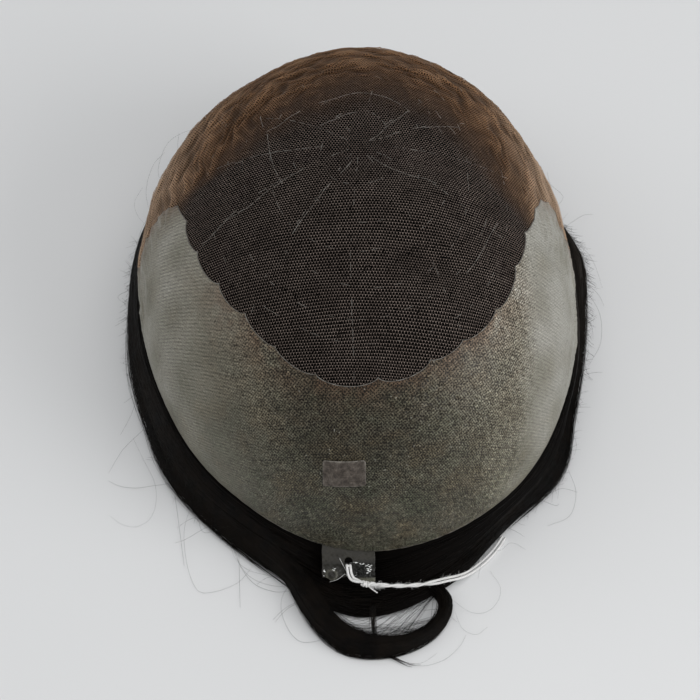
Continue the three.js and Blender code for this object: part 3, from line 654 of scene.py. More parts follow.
def yarn_points(middle, turn0):
    way, side, up = carried_frame(middle)
    s = np.r_[0, np.cumsum(np.linalg.norm(np.diff(middle, axis=0), axis=1))]
    knot_s = s[np.linalg.norm(middle - tab_point(*KNOT_AT), axis=1).argmin()]
    flat = unit(np.cross(way, np.broadcast_to([0.0, 0.0, 1.0], way.shape)))
    steep = np.abs(way[:, 2:3])
    flat = unit(np.where(steep > 0.6, np.array([1.0, 0, 0]) - way * way[:, :1], flat))
    # the pair crosses at the knot and stays twisted for a while after it
    twisted = np.clip((s - knot_s - 1.5) / 22.0, 0, 1)
    turn = turn0 + 2 * np.pi * (smooth(s, knot_s - 3.6, knot_s + 4.4) + 2 * twisted)
    over = np.cross(flat, way)
    over = over * np.sign(over[:, 2:3] + 1e-9)
    close = smooth(s, knot_s - 6, knot_s - 1) * smooth(s, knot_s + 26, knot_s + 20)
    apart = THREAD_APART - (THREAD_APART - 0.29) * close
    p = middle + apart[:, None] * (np.cos(turn)[:, None] * flat + np.sin(turn)[:, None] * over)
    p += 0.22 * close[:, None] * over
    p[:, 2] = np.maximum(p[:, 2], THREAD_RADIUS + 0.06)
    return p


middle = thread_pair()
cords, cord_lines = [], []
for name, turn0, nodes in (
    ("tie_thread_a", 0.0, ("tie_cord_a", "tie_loop_a")),
    ("tie_thread_b", math.pi, ("tie_cord_b", "tie_loop_b")),
):
    line = yarn_points(middle, turn0)
    line = through(line[::3], 440)
    points, faces, uv = tube(line, THREAD_RADIUS * 1.02, sides=10, lobes=3, lobe=0.1, pitch=1.9)
    cords.append(piece(name, points, faces, THREAD, nodes, uv=uv))
    cord_lines.append(line)


def fuzz(lines, count, seed, longest):
    """Short loose fibres standing off the thread."""
    r = np.random.default_rng(seed)
    paths = []
    for _ in range(count):
        line = lines[r.integers(len(lines))]
        i = r.integers(2, len(line) - 3)
        way = unit(line[i + 1] - line[i])
        out = unit(np.cross(way, r.normal(size=3)))
        if out[2] < -0.2:
            out = -out
        size = r.uniform(0.5, longest)
        bend = unit(out * r.uniform(0.4, 1.0) + way * r.uniform(-1, 1))
        u = np.linspace(0, 1, 6)[:, None]
        p = line[i] + out * THREAD_RADIUS * 0.8 + size * (bend * u + 0.35 * way * r.uniform(-1, 1) * u**2)
        p[:, 2] = np.maximum(p[:, 2], 0.1)
        paths.append(p)
    paths = np.array(paths)
    taper = np.linspace(1, 0.4, 6)[None, :] * r.uniform(0.025, 0.05, (count, 1))
    return strands(paths, taper)


def wrap_knot(centre, way, radius, long, turns, yarn, seed):
    """A tight knot: a yarn wound over itself round the pair."""
    r = np.random.default_rng(seed)
    way = unit(np.asarray(way, float))
    a = unit(np.cross(way, [0.3, 0.2, 1.0]))
    b = np.cross(way, a)
    u = np.linspace(0, 1, 90 * turns // 2)
    turn = 2 * np.pi * turns * u
    bulge = radius * (0.82 + 0.26 * np.sin(np.pi * u) + 0.06 * np.sin(7 * np.pi * u + r.uniform(0, 6)))
    slide = (u - 0.5) * long + 0.18 * np.sin(turn * 1.5)
    line = centre + bulge[:, None] * (np.cos(turn)[:, None] * a + np.sin(turn)[:, None] * b) + slide[:, None] * way
    points, faces, uv = tube(line, yarn, sides=10, lobes=3, lobe=0.13, pitch=2.2)
    return points, faces, uv


knot_centre = tab_point(*KNOT_AT)
knot = wrap_knot(knot_centre, tab_point(3.2, 11.3, 1.1) - tab_point(-0.2, 10.4, 1.2), 0.72, 2.3, 3, 0.33, 3)
knot_obj = piece("tie_knot_wrap", knot[0], knot[1], THREAD, ("tie_knot",), uv=knot[2])
stop = wrap_knot(tab_point(TAB_HOLE[0], 3.5, -2.65), tab_up, 0.95, 1.9, 4, 0.4, 4)
stop_obj = piece("tie_stop_knot", stop[0], stop[1], THREAD, ("tie_stop",), uv=stop[2])


def tails():
    """Cut ends at the knot: a stiff thin one and a frayed one."""
    stiff = through([tab_point(1.9, 11.0, 1.2), tab_point(3.2, 12.2, 1.0), tab_point(4.3, 13.0, 1.0), tab_point(5.5, 13.8, 1.2)], 50)
    parts = [tube(stiff, np.r_[np.linspace(0.24, 0.17, 46), 0.21, 0.24, 0.24, 0.18], sides=8, lobes=2, lobe=0.12, pitch=2.4)]
    # thin torn fibres lying over the tab
    for fibre in (
        [(-7.0, 2.4, 0.5), (-5.9, 4.6, 0.6), (-4.6, 6.9, 0.5)],
        [(-5.2, 7.6, 0.6), (-7.6, 9.4, 0.5), (-10.2, 10.2, 0.4)],
    ):
        parts.append(tube(through([tab_point(*p) for p in fibre], 24), np.linspace(0.065, 0.04, 24), sides=5))
    r = np.random.default_rng(11)
    paths = []
    for _ in range(150):
        a, b = r.uniform(-0.5, 0.5, 2)
        start = tab_point(r.uniform(1.8, 5.6), 11.0 + 0.4 * a, 1.25 + 0.4 * b)
        size = r.uniform(0.9, 2.9)
        aim = unit(np.array([1.0, 0, 0]) * r.uniform(0.7, 1.0) + tab_out * r.uniform(0.15, 0.7) + tab_up * r.uniform(-0.08, 0.25))
        u = np.linspace(0, 1, 8)[:, None]
        paths.append(start + size * aim * u + 0.3 * r.normal(size=3) * u**2)
    more = strands(np.array(paths), np.linspace(1, 0.5, 8)[None, :] * r.uniform(0.03, 0.055, (150, 1)))
    return joined(parts + [more])


tail_points, tail_faces = tails()
tail_obj = piece(
    "tie_tails", tail_points, tail_faces, THREAD,
    uv=np.stack([tail_points[:, 0] * 3, tail_points[:, 2] * 3], 1),
)  # fmt: skip
fuzz_points, fuzz_faces = fuzz([c[40:] for c in cord_lines], 340, 8, 1.5)
fuzz_obj = piece(
    "tie_fuzz", fuzz_points, fuzz_faces, THREAD, uv=np.stack([fuzz_points[:, 0] * 3, fuzz_points[:, 2] * 3], 1)
)


def metres(line):
    return (np.asarray(line) + PLACE) * 0.001


for cord, line, extras in zip(cords, cord_lines, ([knot_obj, tail_obj, fuzz_obj], [stop_obj])):
    path = metres(line)
    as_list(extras)  # fmt: skip

# ---------------------------------------------------------------- lattice of the net
class Lattice:
    """Honeycomb over the whole dome: cell middles, shared corners, and the six corners of each cell.

    row gives the distance between two rows of cells at a distance from the crown.
    """

    def __init__(self, pitch, row, uneven, stretch=0.0, limit=150.0):
        rows, cols = int(limit / 0.78) + 2, int(limit / pitch) + 2
        at_row, below = np.zeros(2 * rows + 5), rows + 2
        for k in range(rows + 2):
            at_row[below + k + 1] = at_row[below + k] + row(at_row[below + k])
            at_row[below - k - 1] = at_row[below - k] - row(at_row[below - k])
        row_at = lambda jj: np.interp(jj, np.arange(-rows - 2, rows + 3), at_row)
        j, i = np.mgrid[-rows : rows + 1, -cols : cols + 1]
        odd = j & 1
        u, v = (i + 0.5 * odd) * pitch, row_at(j)
        wide, total = 2 * cols + 1, j.size
        corner = np.concatenate([
            np.stack([u.ravel(), row_at(j + 2 / 3).ravel()], 1),
            np.stack([u.ravel(), row_at(j - 2 / 3).ravel()], 1),
        ])  # fmt: skip
        inside = (np.abs(j) < rows - 1) & (np.abs(i) < cols - 1)
        at = lambda jj, ii: (jj + rows) * wide + (ii + cols)
        left, right = i - 1 + odd, i + odd
        six = np.stack([
            at(j, i), total + at(j + 1, left), at(j - 1, left), total + at(j, i), at(j - 1, right), total + at(j + 1, right),
        ], -1)  # fmt: skip
        keep = inside & (np.hypot(u, v) < limit)
        six = six[keep]
        used, back = np.unique(six, return_inverse=True)
        self.six = back.reshape(six.shape)
        self.knotted = used < total
        self.middle = self.stretched(np.stack([u[keep], v[keep]], 1), stretch)
        self.corner = self.stretched(corner[used], stretch) + rng.normal(0, uneven, (len(used), 2))
        self.corner_az, self.corner_down = on_dome(self.corner)
        self.middle_az, self.middle_down = on_dome(self.middle)

    def stretched(self, uv, by):
        """The weave pulled a little closer and wider from place to place."""
        u, v = uv.T
        pull = 0.54 * np.sin(2 * np.pi * (v - 29 + 0.25 * np.abs(u - 6)) / 34) * np.exp(-(((u - 8) / 30) ** 2))
        return np.stack([u + 0.5 * by * wavy(u / 6, v / 6, 27), v + by * (pull + 0.25 * wavy(u / 7, v / 3.4, 28))], 1)


def on_dome(uv):
    """Net coordinates in millimetres from the crown to azimuth and down."""
    az = np.degrees(np.arctan2(uv[:, 0], uv[:, 1]))
    return az, np.hypot(uv[:, 0], uv[:, 1]) / meridian(az)


FIRST, SECOND, LAST_BUT, LAST = SCALLOPS[0, 0], SCALLOPS[1, 0], SCALLOPS[-2, 0], SCALLOPS[-1, 0]


def scallop_edge(column):
    """How far down the film's scalloped edge is."""
    c = np.clip(column, FIRST, LAST)
    i = np.clip(np.searchsorted(SCALLOPS[:, 0], c, side="right") - 1, 0, len(SCALLOPS) - 2)
    a, b = SCALLOPS[i], SCALLOPS[i + 1]
    u = (c - a[:, 0]) / (b[:, 0] - a[:, 0])
    return a[:, 1] + (b[:, 1] - a[:, 1]) * u + a[:, 2] * np.sqrt(np.maximum(0, 1 - (2 * u - 1) ** 2))


def film_azimuth(column, down):
    """Azimuth of a film column: the end columns follow the temple edges."""
    left = np.interp(down, *LEFT_EDGE.T) - FIRST
    right = np.interp(down, *RIGHT_EDGE.T) - LAST
    a = column + (SECOND - column) / (SECOND - FIRST) * left
    b = column + (column - LAST_BUT) / (LAST - LAST_BUT) * right
    return np.where(column < SECOND, a, np.where(column > LAST_BUT, b, column))


def film_column(azimuth, down):
    left = (np.interp(down, *LEFT_EDGE.T) - FIRST) / (SECOND - FIRST)
    right = (np.interp(down, *RIGHT_EDGE.T) - LAST) / (LAST - LAST_BUT)
    a = (azimuth - SECOND * left) / (1 - left)
    b = (azimuth + LAST_BUT * right) / (1 + right)
    return np.where(azimuth < SECOND, a, np.where(azimuth > LAST_BUT, b, azimuth))


def film_margins(azimuth, down):
    """Millimetres inside the film from its scallops, left and right edges, and rim; and the column."""
    column = film_column(azimuth, down)
    per_degree = np.radians(1) * around(RIM_RADIUS, azimuth) * np.sin(np.clip(down, 0.1, 1) * np.pi / 2)
    top = (down - scallop_edge(column)) * meridian(azimuth)
    return top, (column - FIRST) * per_degree, (LAST - column) * per_degree, (1 - down) * meridian(azimuth), column


net = Lattice(0.915, lambda v: 0.8 + 0.12 * float(smooth(v, 8, 52)), 0.028, 1.0)
weave = Lattice(1.1, lambda v: 1.02, 0.035)


def inside_film(azimuth, down):
    top, left, right, rim, _ = film_margins(azimuth, down)
    return np.minimum.reduce([top, left, right, rim])


# ---------------------------------------------------------------- lace
def lace_net():
    """A honeycomb: a bar between each two neighbouring holes, and a knot where three bars meet."""
    deep = inside_film(net.middle_az, net.middle_down)
    cells = np.where((deep < 0.35) & (net.middle_down < 0.9965))[0]
    cells = cells[(net.corner_down[net.six[cells]] < 1.003).all(1)]
    six, centre = net.six[cells], net.middle[cells][:, None]
    soft = slack(net.middle_az[cells], net.middle_down[cells] - 0.05, 0.25)
    # the threads are knotted together at every other corner
    width = np.where(net.knotted[six], 0.865, 0.975) - np.where(net.knotted[six], 0.29, 0.36) * soft[:, None]
    # on the flanks the net is drawn tight along its rows
    flank = np.abs(net.middle_az[cells])
    flank = (smooth(flank, 28, 62) * smooth(flank, 150, 118) * smooth(net.middle_down[cells], 0.08, 0.2) * (1 - soft))[:, None]
    tight = np.where(net.knotted[six], 0.075, 0.012) * flank, np.where(net.knotted[six], -0.055, -0.035) * flank
    width = np.stack([width + tight[0], width + tight[1]], -1) + rng.normal(0, 0.018, (len(cells), 1, 2))
    uv = (centre + width * (net.corner[six] - centre)).reshape(-1, 2)
    az, t = on_dome(uv)
    t = np.minimum(t, 1)
    knots = six.ravel()
    under = smooth(-inside_film(az, t), -0.6, 0.3)
    points = dome_point(az, t, -0.02 - 0.14 * (1 - under) + rng.normal(0, 0.05, len(net.corner))[knots])
    brown = slack(az, t + 0.04, 0.24)
    # painted highlight on the crests of the creases and painted shade in their valleys
    crease_shading = np.clip(0.47 + 0.6 * crumple(az, t), 0, 1)
    # painted light: lighter towards the temples, more on the right, where the right lamp falls
    light = smooth(np.abs(az), 152, 110) * smooth(t, 0.4, 0.78) * np.where(az > 0, 1.0, 0.72)
    flanks = smooth(np.abs(az), 28, 62) * smooth(np.abs(az), 150, 118) * smooth(t, 0.08, 0.2)
    values = {"brown": brown, "crease_shading": crease_shading, "light": np.minimum(light, 1), "knot": 0.5 + (net.knotted[knots] - 0.5) * (0.55 + 0.45 * flanks) * (1 - brown)}
    after = np.roll(np.arange(len(uv)).reshape(-1, 6), -1, axis=1).ravel()
    ends = np.sort(np.stack([knots, knots[after]], 1), 1)
    order = np.lexsort(ends.T)
    shared = (ends[order][1:] == ends[order][:-1]).all(1)
    a, b = order[:-1][shared], order[1:][shared]
    bars = np.stack([a, after[a], b, after[b]], 1)
    order = np.argsort(knots, kind="stable")
    _, first, count = np.unique(knots[order], return_index=True, return_counts=True)
    first = first[count == 3]
    meet = np.stack([order[first], order[first + 1], order[first + 2]], 1)

    def facing(f):
        """Which faces look out of the dome."""
        normal = np.cross(points[f[:, 1]] - points[f[:, 0]], points[f[:, 2]] - points[f[:, 0]])
        return ((normal * dome_normal(az[f[:, 0]], t[f[:, 0]])).sum(1) > 0)[:, None]

    faces = [np.where(facing(f), f, f[:, ::-1]) for f in (bars, meet)]
    for name, sign, nodes in (("lace_net_left", -1, ("lace_cap",)), ("lace_net_right", 1, ())):
        chosen = [f[uv[f].mean(1)[:, 0] * sign > 0] for f in faces]
        used = np.unique(np.concatenate([f.ravel() for f in chosen]))
        place = np.full(len(uv), -1)
        place[used] = np.arange(len(used))
        yield piece(
            name, points[used], [place[f] for f in chosen], LACE, nodes, values={k: v[used] for k, v in values.items()}
        )


def lace_ground():
    """The dark ground just under the net, as one thin closed shell over the whole dome."""
    az = np.r_[np.arange(-75, 75, 2.8), np.arange(75, 285, 1.1)]  # closer where the front is crumpled
    t = np.r_[np.linspace(0.02, 0.16, 6), np.linspace(0.16, 0.999, 104)[1:]]
    t_low = t[::-6][::-1]
    columns, rows, rows_low = len(az), len(t), len(t_low)
    upper_points = dome_point(az[None, :], np.broadcast_to(t[:, None], (rows, columns)), -0.42).reshape(-1, 3)
    lower_points = dome_point(az[None, :], np.broadcast_to(t_low[:, None], (rows_low, columns)), -1.2, False).reshape(-1, 3)
    top = dome_point(np.array([0.0]), np.array([0.0]), -0.42)
    low = dome_point(np.array([0.0]), np.array([0.0]), -1.2, False)
    n, end = rows * columns, (rows + rows_low) * columns
    points = np.vstack([upper_points, lower_points, top, low])
    k = np.arange(columns)
    nx = (k + 1) % columns
    upper = grid_faces(rows, columns, True)
    lower = grid_faces(rows_low, columns, True, n)[:, ::-1]
    rim, rim_low = n - columns, end - columns
    edge = np.stack([rim + k, rim + nx, rim_low + nx, rim_low + k], 1)
    cap = np.stack([np.full(columns, end), nx, k], 1)
    cap_low = np.stack([np.full(columns, end + 1), n + k, n + nx], 1)
    quads = np.vstack([upper[:, ::-1], lower[:, ::-1], edge[:, ::-1]])
    all_az = np.r_[np.tile(az, rows), np.tile(az, rows_low), 0.0, 0.0]
    all_t = np.r_[np.repeat(t, columns), np.repeat(t_low, columns), 0.0, 0.0]
    return piece(
        "lace_ground", points, [quads, cap, cap_low], GROUND, values={"brown": slack(all_az, all_t + 0.03, 0.2)}
    )


nets = list(lace_net())
ground = lace_ground()

# Guide stitches that mark the hair's directions: meridians and rings of short dashes.
GUIDE_MERIDIANS = [-152, -122, -93.5, -67, -35.5, -3, 32, 65, 92, 118, 138, 172]
GUIDE_RINGS = [0.105, 0.178, 0.25, 0.318, 0.38, 0.44]
GUIDE_RUNS = [  # the runs that show most: azimuth and way down, point by point
    [(120, 0.03), (134, 0.09), (136.5, 0.138), (138, 0.2)],
    [(-17.5, 0.03), (-33, 0.108), (-35.5, 0.216), (-36, 0.28)],
    [(-68, 0.122), (-67, 0.18), (-66.5, 0.256), (-65.5, 0.326), (-67.5, 0.394), (-66.5, 0.46), (-68, 0.51)],
    [(-93.5, 0.164), (-93.5, 0.25), (-94, 0.35)],
    [(40, 0.03), (64.5, 0.194), (65.5, 0.228)],
    [(119, 0.148), (117, 0.314)],
    [(-123.5, 0.316), (-109, 0.26), (-94.5, 0.244), (-61, 0.218)],
    [(-111, 0.274), (-117, 0.236), (-131.5, 0.206), (-149, 0.182), (-163, 0.168), (-213.5, 0.18)],
    [(-123, 0.128), (-145.5, 0.104), (-166, 0.102), (-180, 0.104)],
    [(-226, 0.264), (-237, 0.27), (-250, 0.3)],
    [(72.5, 0.42), (61.5, 0.4), (48.5, 0.392), (39.5, 0.386)],
]


def guide_threads():
    r = np.random.default_rng(31)
    parts = []

    def dashes(az, t, share, sizes=(0.9, 3.4), gaps=1.5, thick=0.026, fade=0.75):
        line = dome_point(az, t, 0.06)
        s = np.r_[0, np.cumsum(np.linalg.norm(np.diff(line, axis=0), axis=1))]
        at = r.uniform(0, 3)
        while at < s[-1] - 2:
            size = r.uniform(*sizes)
            u = np.linspace(at, min(at + size, s[-1]), 4)
            aa, tt = np.interp(u, s, az), np.interp(u, s, t)
            arch = 0.08 * np.sin(np.linspace(0, np.pi, 4))
            if inside_film(aa, tt).max() < -0.8 and r.random() < share * (1 - fade * slack(aa, tt - 0.05, 0.12).max()):
                p = dome_point(aa, tt, 0.02 + arch) + r.normal(0, 0.07, 3)
                parts.append(tube(p, thick + 0.045 * r.random() ** 1.6, sides=4))
            at += size + r.uniform(0.1, gaps)

    for a in GUIDE_MERIDIANS:
        t = np.linspace(0.015, 0.56, 160)
        dashes(a + 1.6 * np.sin(t * 9 + a), t, 0.5)
    for ring in GUIDE_RINGS:
        az = np.linspace(-180, 180, 500)
        dashes(az, ring + 0.008 * np.sin(np.radians(az * 3) + ring * 40), 0.34)
    for run in GUIDE_RUNS:
        a, t = np.array(run).T
        u = np.linspace(0, 1, 120)
        at = np.linspace(0, 1, len(a))
        dashes(np.interp(u, at, a), np.interp(u, at, t), 0.93, (1.6, 4.6), 0.5, 0.042, 0.3)
    return joined(parts)


guide_points, guide_faces = guide_threads()
guides = piece("guide_stitches", guide_points, guide_faces, GUIDE)


# ---------------------------------------------------------------- film
def film_sheet():
    # the pits don't sit quite in the middle of their cells
    az, t = on_dome(np.vstack([weave.corner, weave.middle + rng.normal(0, 0.14, weave.middle.shape)]))
    n_corner = len(weave.corner)
    near = np.where((inside_film(weave.middle_az, weave.middle_down) > -1.6))[0]
    six = weave.six[near]
    mid = n_corner + near[:, None]
    nxt = np.roll(np.arange(6), -1)
    tri = np.stack([np.broadcast_to(mid, six.shape), six, six[:, nxt]], -1)
    heart_uv = np.vstack([weave.corner, weave.middle])[tri].mean(2)
    inside = inside_film(*on_dome(heart_uv.reshape(-1, 2))).reshape(-1, 6) > 0
    whole = inside.all(1)
    used = np.unique(tri[inside])
    place = np.full(len(az), -1)
    place[used] = np.arange(len(used))
    # the underside is plain, so its whole cells need no middle
    low_tri = place[tri[~whole][inside[~whole]]]
    low_quad = place[six[whole][:, [[0, 1, 2, 3], [0, 3, 4, 5]]].reshape(-1, 4)]
    tri = place[tri[inside]]
    az, t, is_mid = az[used], t[used], used >= n_corner
    # vertices on the outline move onto it
    edges = np.sort(np.vstack([tri[:, [0, 1]], tri[:, [1, 2]], tri[:, [2, 0]]]), 1)
    one, count = np.unique(edges, axis=0, return_counts=True)
    rim_edges = one[count == 1]
    outline = np.unique(rim_edges)
    top, left, right, rim, column = film_margins(az[outline], t[outline])
    nearest = np.abs(np.stack([top, left, right, rim])).argmin(0)
    column = np.where(nearest == 1, FIRST, np.where(nearest == 2, LAST, np.clip(column, FIRST, LAST)))
    down = np.where(nearest == 0, scallop_edge(column), np.where(nearest == 3, 1.0, np.minimum(t[outline], 1)))
    az[outline], t[outline] = film_azimuth(column, down), down
    on_edge = np.zeros(len(az), bool)
    on_edge[outline] = True
    t = np.minimum(t, 1)
    top, left, right, rim, _ = film_margins(az, t)
    x, s = np.radians(az) * 85, t * meridian(az)
    slow = 0.16 * wavy(x / 6, s / 6, 21) + 0.1 * wavy(x / 2.5, s / 2.5, 22)
    # the lace shows through in patches of deeper pits, and hardly at all at the sides
    across = t * np.sin(np.radians(az))
    side = np.where(az > 0, smooth(across, 0.4, 0.57), smooth(-across, 0.14, 0.5))
    open_share = np.clip(0.86 + 0.22 * wavy(x / 1.1, s / 1.1, 23) + 0.15 * wavy(x / 3.2, s / 3.2, 24), 0.25, 1.15) * (1 - 0.7 * side)
    net_u, net_v = s * np.sin(np.radians(az)), s * np.cos(np.radians(az))
    dashes = 0.85 + 0.38 * wavy(net_u / 0.75, net_v / 0.27, 26, 18)
    deep = np.clip(open_share * dashes * rng.normal(1.0, 0.25, len(az)), 0, 1.2)
    bump = rng.normal(0, 0.04, len(az))
    rows_seen = np.where(az > 0, 0.7 * smooth(across, 0.24, 0.42), smooth(-across, 0.1, 0.28)) * smooth(np.abs(across), 0.78, 0.62)
    tone = 0.5 + ((0.14 + 0.16 * smooth(t, 0.74, 0.9)) * bump / 0.04 + 0.1 * (dashes - 0.85)) * (1 - 0.85 * side)
    # painted shade: the upper middle of the band is darker
    tone = np.clip(tone - 0.2 * np.exp(-(((az - 2) / 24) ** 2)) * smooth(t, 0.86, 0.66), 0, 1)
    height = 0.17 + 0.22 * slow * smooth(np.minimum(top, rim), 0, 5) + np.where(is_mid, -0.26 * deep, bump)
    height = np.where(on_edge, 0.1, height)
    upper = dome_point(az, t, height)
    lower = dome_point(az, t, -0.22)
    n = len(az)
    flip = np.cross(upper[tri[:, 1]] - upper[tri[:, 0]], upper[tri[:, 2]] - upper[tri[:, 0]])
    if (flip * dome_normal(az[tri[:, 0]], t[tri[:, 0]])).sum() < 0:
        tri, low_tri, low_quad = tri[:, ::-1], low_tri[:, ::-1], low_quad[:, ::-1]
    walls = np.vstack([tri[:, [0, 1]], tri[:, [1, 2]], tri[:, [2, 0]]])
    key = np.sort(walls, 1)
    _, index, count = np.unique(key, axis=0, return_index=True, return_counts=True)
    walls = walls[index[count == 1]]
    wall = np.stack([walls[:, 1], walls[:, 0], n + walls[:, 0], n + walls[:, 1]], 1)
    stain = np.exp(-np.maximum(top, 0) / 8.5) * smooth(np.abs(az), 75, 35) + 0.8 * np.exp(
        -np.maximum(np.minimum(left, right), 0) / 4.0
    )
    stain = np.clip(stain, 0, 1)
    # painted glints at a few corners of the lattice
    glint = np.where(~is_mid, np.clip((rng.random(n) - 0.9) * 14, 0, 1), 0) * rng.uniform(0.1, 0.75, n) * (1 - 0.8 * side)
    # painted light on the sides of the band, stronger on the right
    painted_side_light = np.where(az > 0, 1.05 * smooth(az, 4, 64), 0.77 * smooth(-az, 1, 66)) * (0.85 + 0.15 * wavy(x / 4, s / 4, 25))
    painted_side_light = np.clip(painted_side_light, 0, 1)
    faces = [np.vstack([tri, n + low_tri[:, ::-1]]), np.vstack([wall, n + low_quad[:, ::-1]])]
    keep = np.unique(np.concatenate([f.ravel() for f in faces]))
    place = np.full(2 * n, -1)
    place[keep] = np.arange(len(keep))
    values = {
        "pit": np.r_[np.where(is_mid & ~on_edge, deep, rng.uniform(0, 0.22, n)), np.zeros(n)],
        "stain": np.r_[stain, stain],
        "glint": np.r_[np.where(on_edge, 0.0, glint), np.zeros(n)],
        "painted_side_light": np.r_[painted_side_light, painted_side_light],
        "tone": np.r_[tone, tone],
        "calm": np.r_[side, side],
        "rows": np.r_[rows_seen, rows_seen],
    }
    return piece(
        "film_band", np.vstack([upper, lower])[keep], [place[f] for f in faces], FILM,
        ("poly_perimeter",), values={key: v[keep] for key, v in values.items()},
        uv=np.tile(np.stack([net_u, net_v], 1), (2, 1))[keep],
    )  # fmt: skip


film = film_sheet()


def film_edges():
    """Rounded cut edges: a bead along the scallops and temples, a thinner one along the rim."""
    parts = []
    column = np.linspace(FIRST, LAST, 1500)
    t = scallop_edge(column)
    left_t, right_t = np.linspace(1, LEFT_EDGE[0, 0], 160), np.linspace(RIGHT_EDGE[0, 0], 1, 160)
    az = np.r_[np.interp(left_t, *LEFT_EDGE.T), film_azimuth(column, t), np.interp(right_t, *RIGHT_EDGE.T)]
    down = np.r_[left_t, t, right_t]
    line = dome_point(az, down, 0.1)
    s = np.r_[0, np.cumsum(np.linalg.norm(np.diff(line, axis=0), axis=1))]
    at = np.arange(0, s[-1], 0.4)
    line = np.stack([np.interp(at, s, line[:, k]) for k in range(3)], 1)
    parts.append(tube(line, 0.13 + 0.045 * wavy(at / 0.9, at * 0, 41), sides=5))
    az = np.linspace(LEFT_EDGE[-1, 1], RIGHT_EDGE[-1, 1], 900)
    line = dome_point(az, np.full(900, 1.0), -0.02)
    s = np.r_[0, np.cumsum(np.linalg.norm(np.diff(line, axis=0), axis=1))]
    at = np.arange(0, s[-1], 0.4)
    line = np.stack([np.interp(at, s, line[:, k]) for k in range(3)], 1)
    parts.append(tube(line, 0.16 + 0.05 * wavy(at / 0.8, at * 0, 42), sides=5))
    return joined(parts)


edge_points, edge_faces = film_edges()
edge_obj = piece("film_edges", edge_points, edge_faces, EDGE)


# ---------------------------------------------------------------- sticker
def sticker():
    """A blank sticker lying on the film, its corners rounded and its right end lifting a little."""
    wide, high = 46, 34
    u, v = np.meshgrid(np.linspace(0, 1, wide), np.linspace(0, 1, high))
    # corners pulled in to a small radius
    size = (15.5, 9.2)
    x, y = (u - 0.5) * size[0], (v - 0.5) * size[1]
    r = 0.9
    cx, cy = np.maximum(np.abs(x) - (size[0] / 2 - r), 0), np.maximum(np.abs(y) - (size[1] / 2 - r), 0)
    far = np.hypot(cx, cy)
    pull = np.where((cx > 0) & (cy > 0), np.maximum(cx, cy) / np.maximum(far, 1e-9), 1.0)
    x = np.where((cx > 0) & (cy > 0), np.sign(x) * (size[0] / 2 - r + cx * pull), x)
    y = np.where((cx > 0) & (cy > 0), np.sign(y) * (size[1] / 2 - r + cy * pull), y)
    u, v = x / size[0] + 0.5, y / size[1] + 0.5
    mixed = [
        (1 - v) * ((1 - u) * LABEL["tl"][k] + u * LABEL["tr"][k]) + v * ((1 - u) * LABEL["bl"][k] + u * LABEL["br"][k])
        for k in (0, 1)
    ]
    lift = 0.22 * smooth(u, 0.86, 1.0) * smooth(v, 0.5, 0.0) + 0.14 * smooth(u, 0.14, 0.0) * smooth(v, 0.6, 1.0)
    crease = 0.05 * wavy(x / 1.3, y / 1.3, 51) + 0.05 * wavy(x / 0.5, y / 0.5, 52)
    upper = dome_point(mixed[0], mixed[1], 0.55 + lift + crease).reshape(-1, 3)
    lower = dome_point(mixed[0], mixed[1], 0.38 + lift + crease).reshape(-1, 3)
    n = wide * high
    top = grid_faces(high, wide)
    low = grid_faces(high, wide, start=n)[:, ::-1]
    ring = np.r_[np.arange(wide), np.arange(1, high) * wide + wide - 1, (high - 1) * wide + np.arange(wide - 2, -1, -1), np.arange(high - 2, 0, -1) * wide]
    nxt = np.roll(ring, -1)
    wall = np.stack([nxt, ring, n + ring, n + nxt], 1)
    border = np.minimum.reduce([(u * size[0]), (1 - u) * size[0], v * size[1], (1 - v) * size[1]]).ravel()
    # painted highlight along the border, strongest at the upper edge
    rim = np.exp(-border / 0.28) * (0.35 + 0.5 * smooth(v, 0.4, 0.0).ravel())
    points = np.vstack([upper, lower])
    faces = np.vstack([top, low, wall])
    f = top[0]
    if np.cross(points[f[1]] - points[f[0]], points[f[2]] - points[f[0]])[2] < 0:
        faces = faces[:, ::-1]
    return piece("label_sticker", points, [faces], STICKER, ("label_patch",), values={"rim": np.r_[rim, rim]})


sticker()


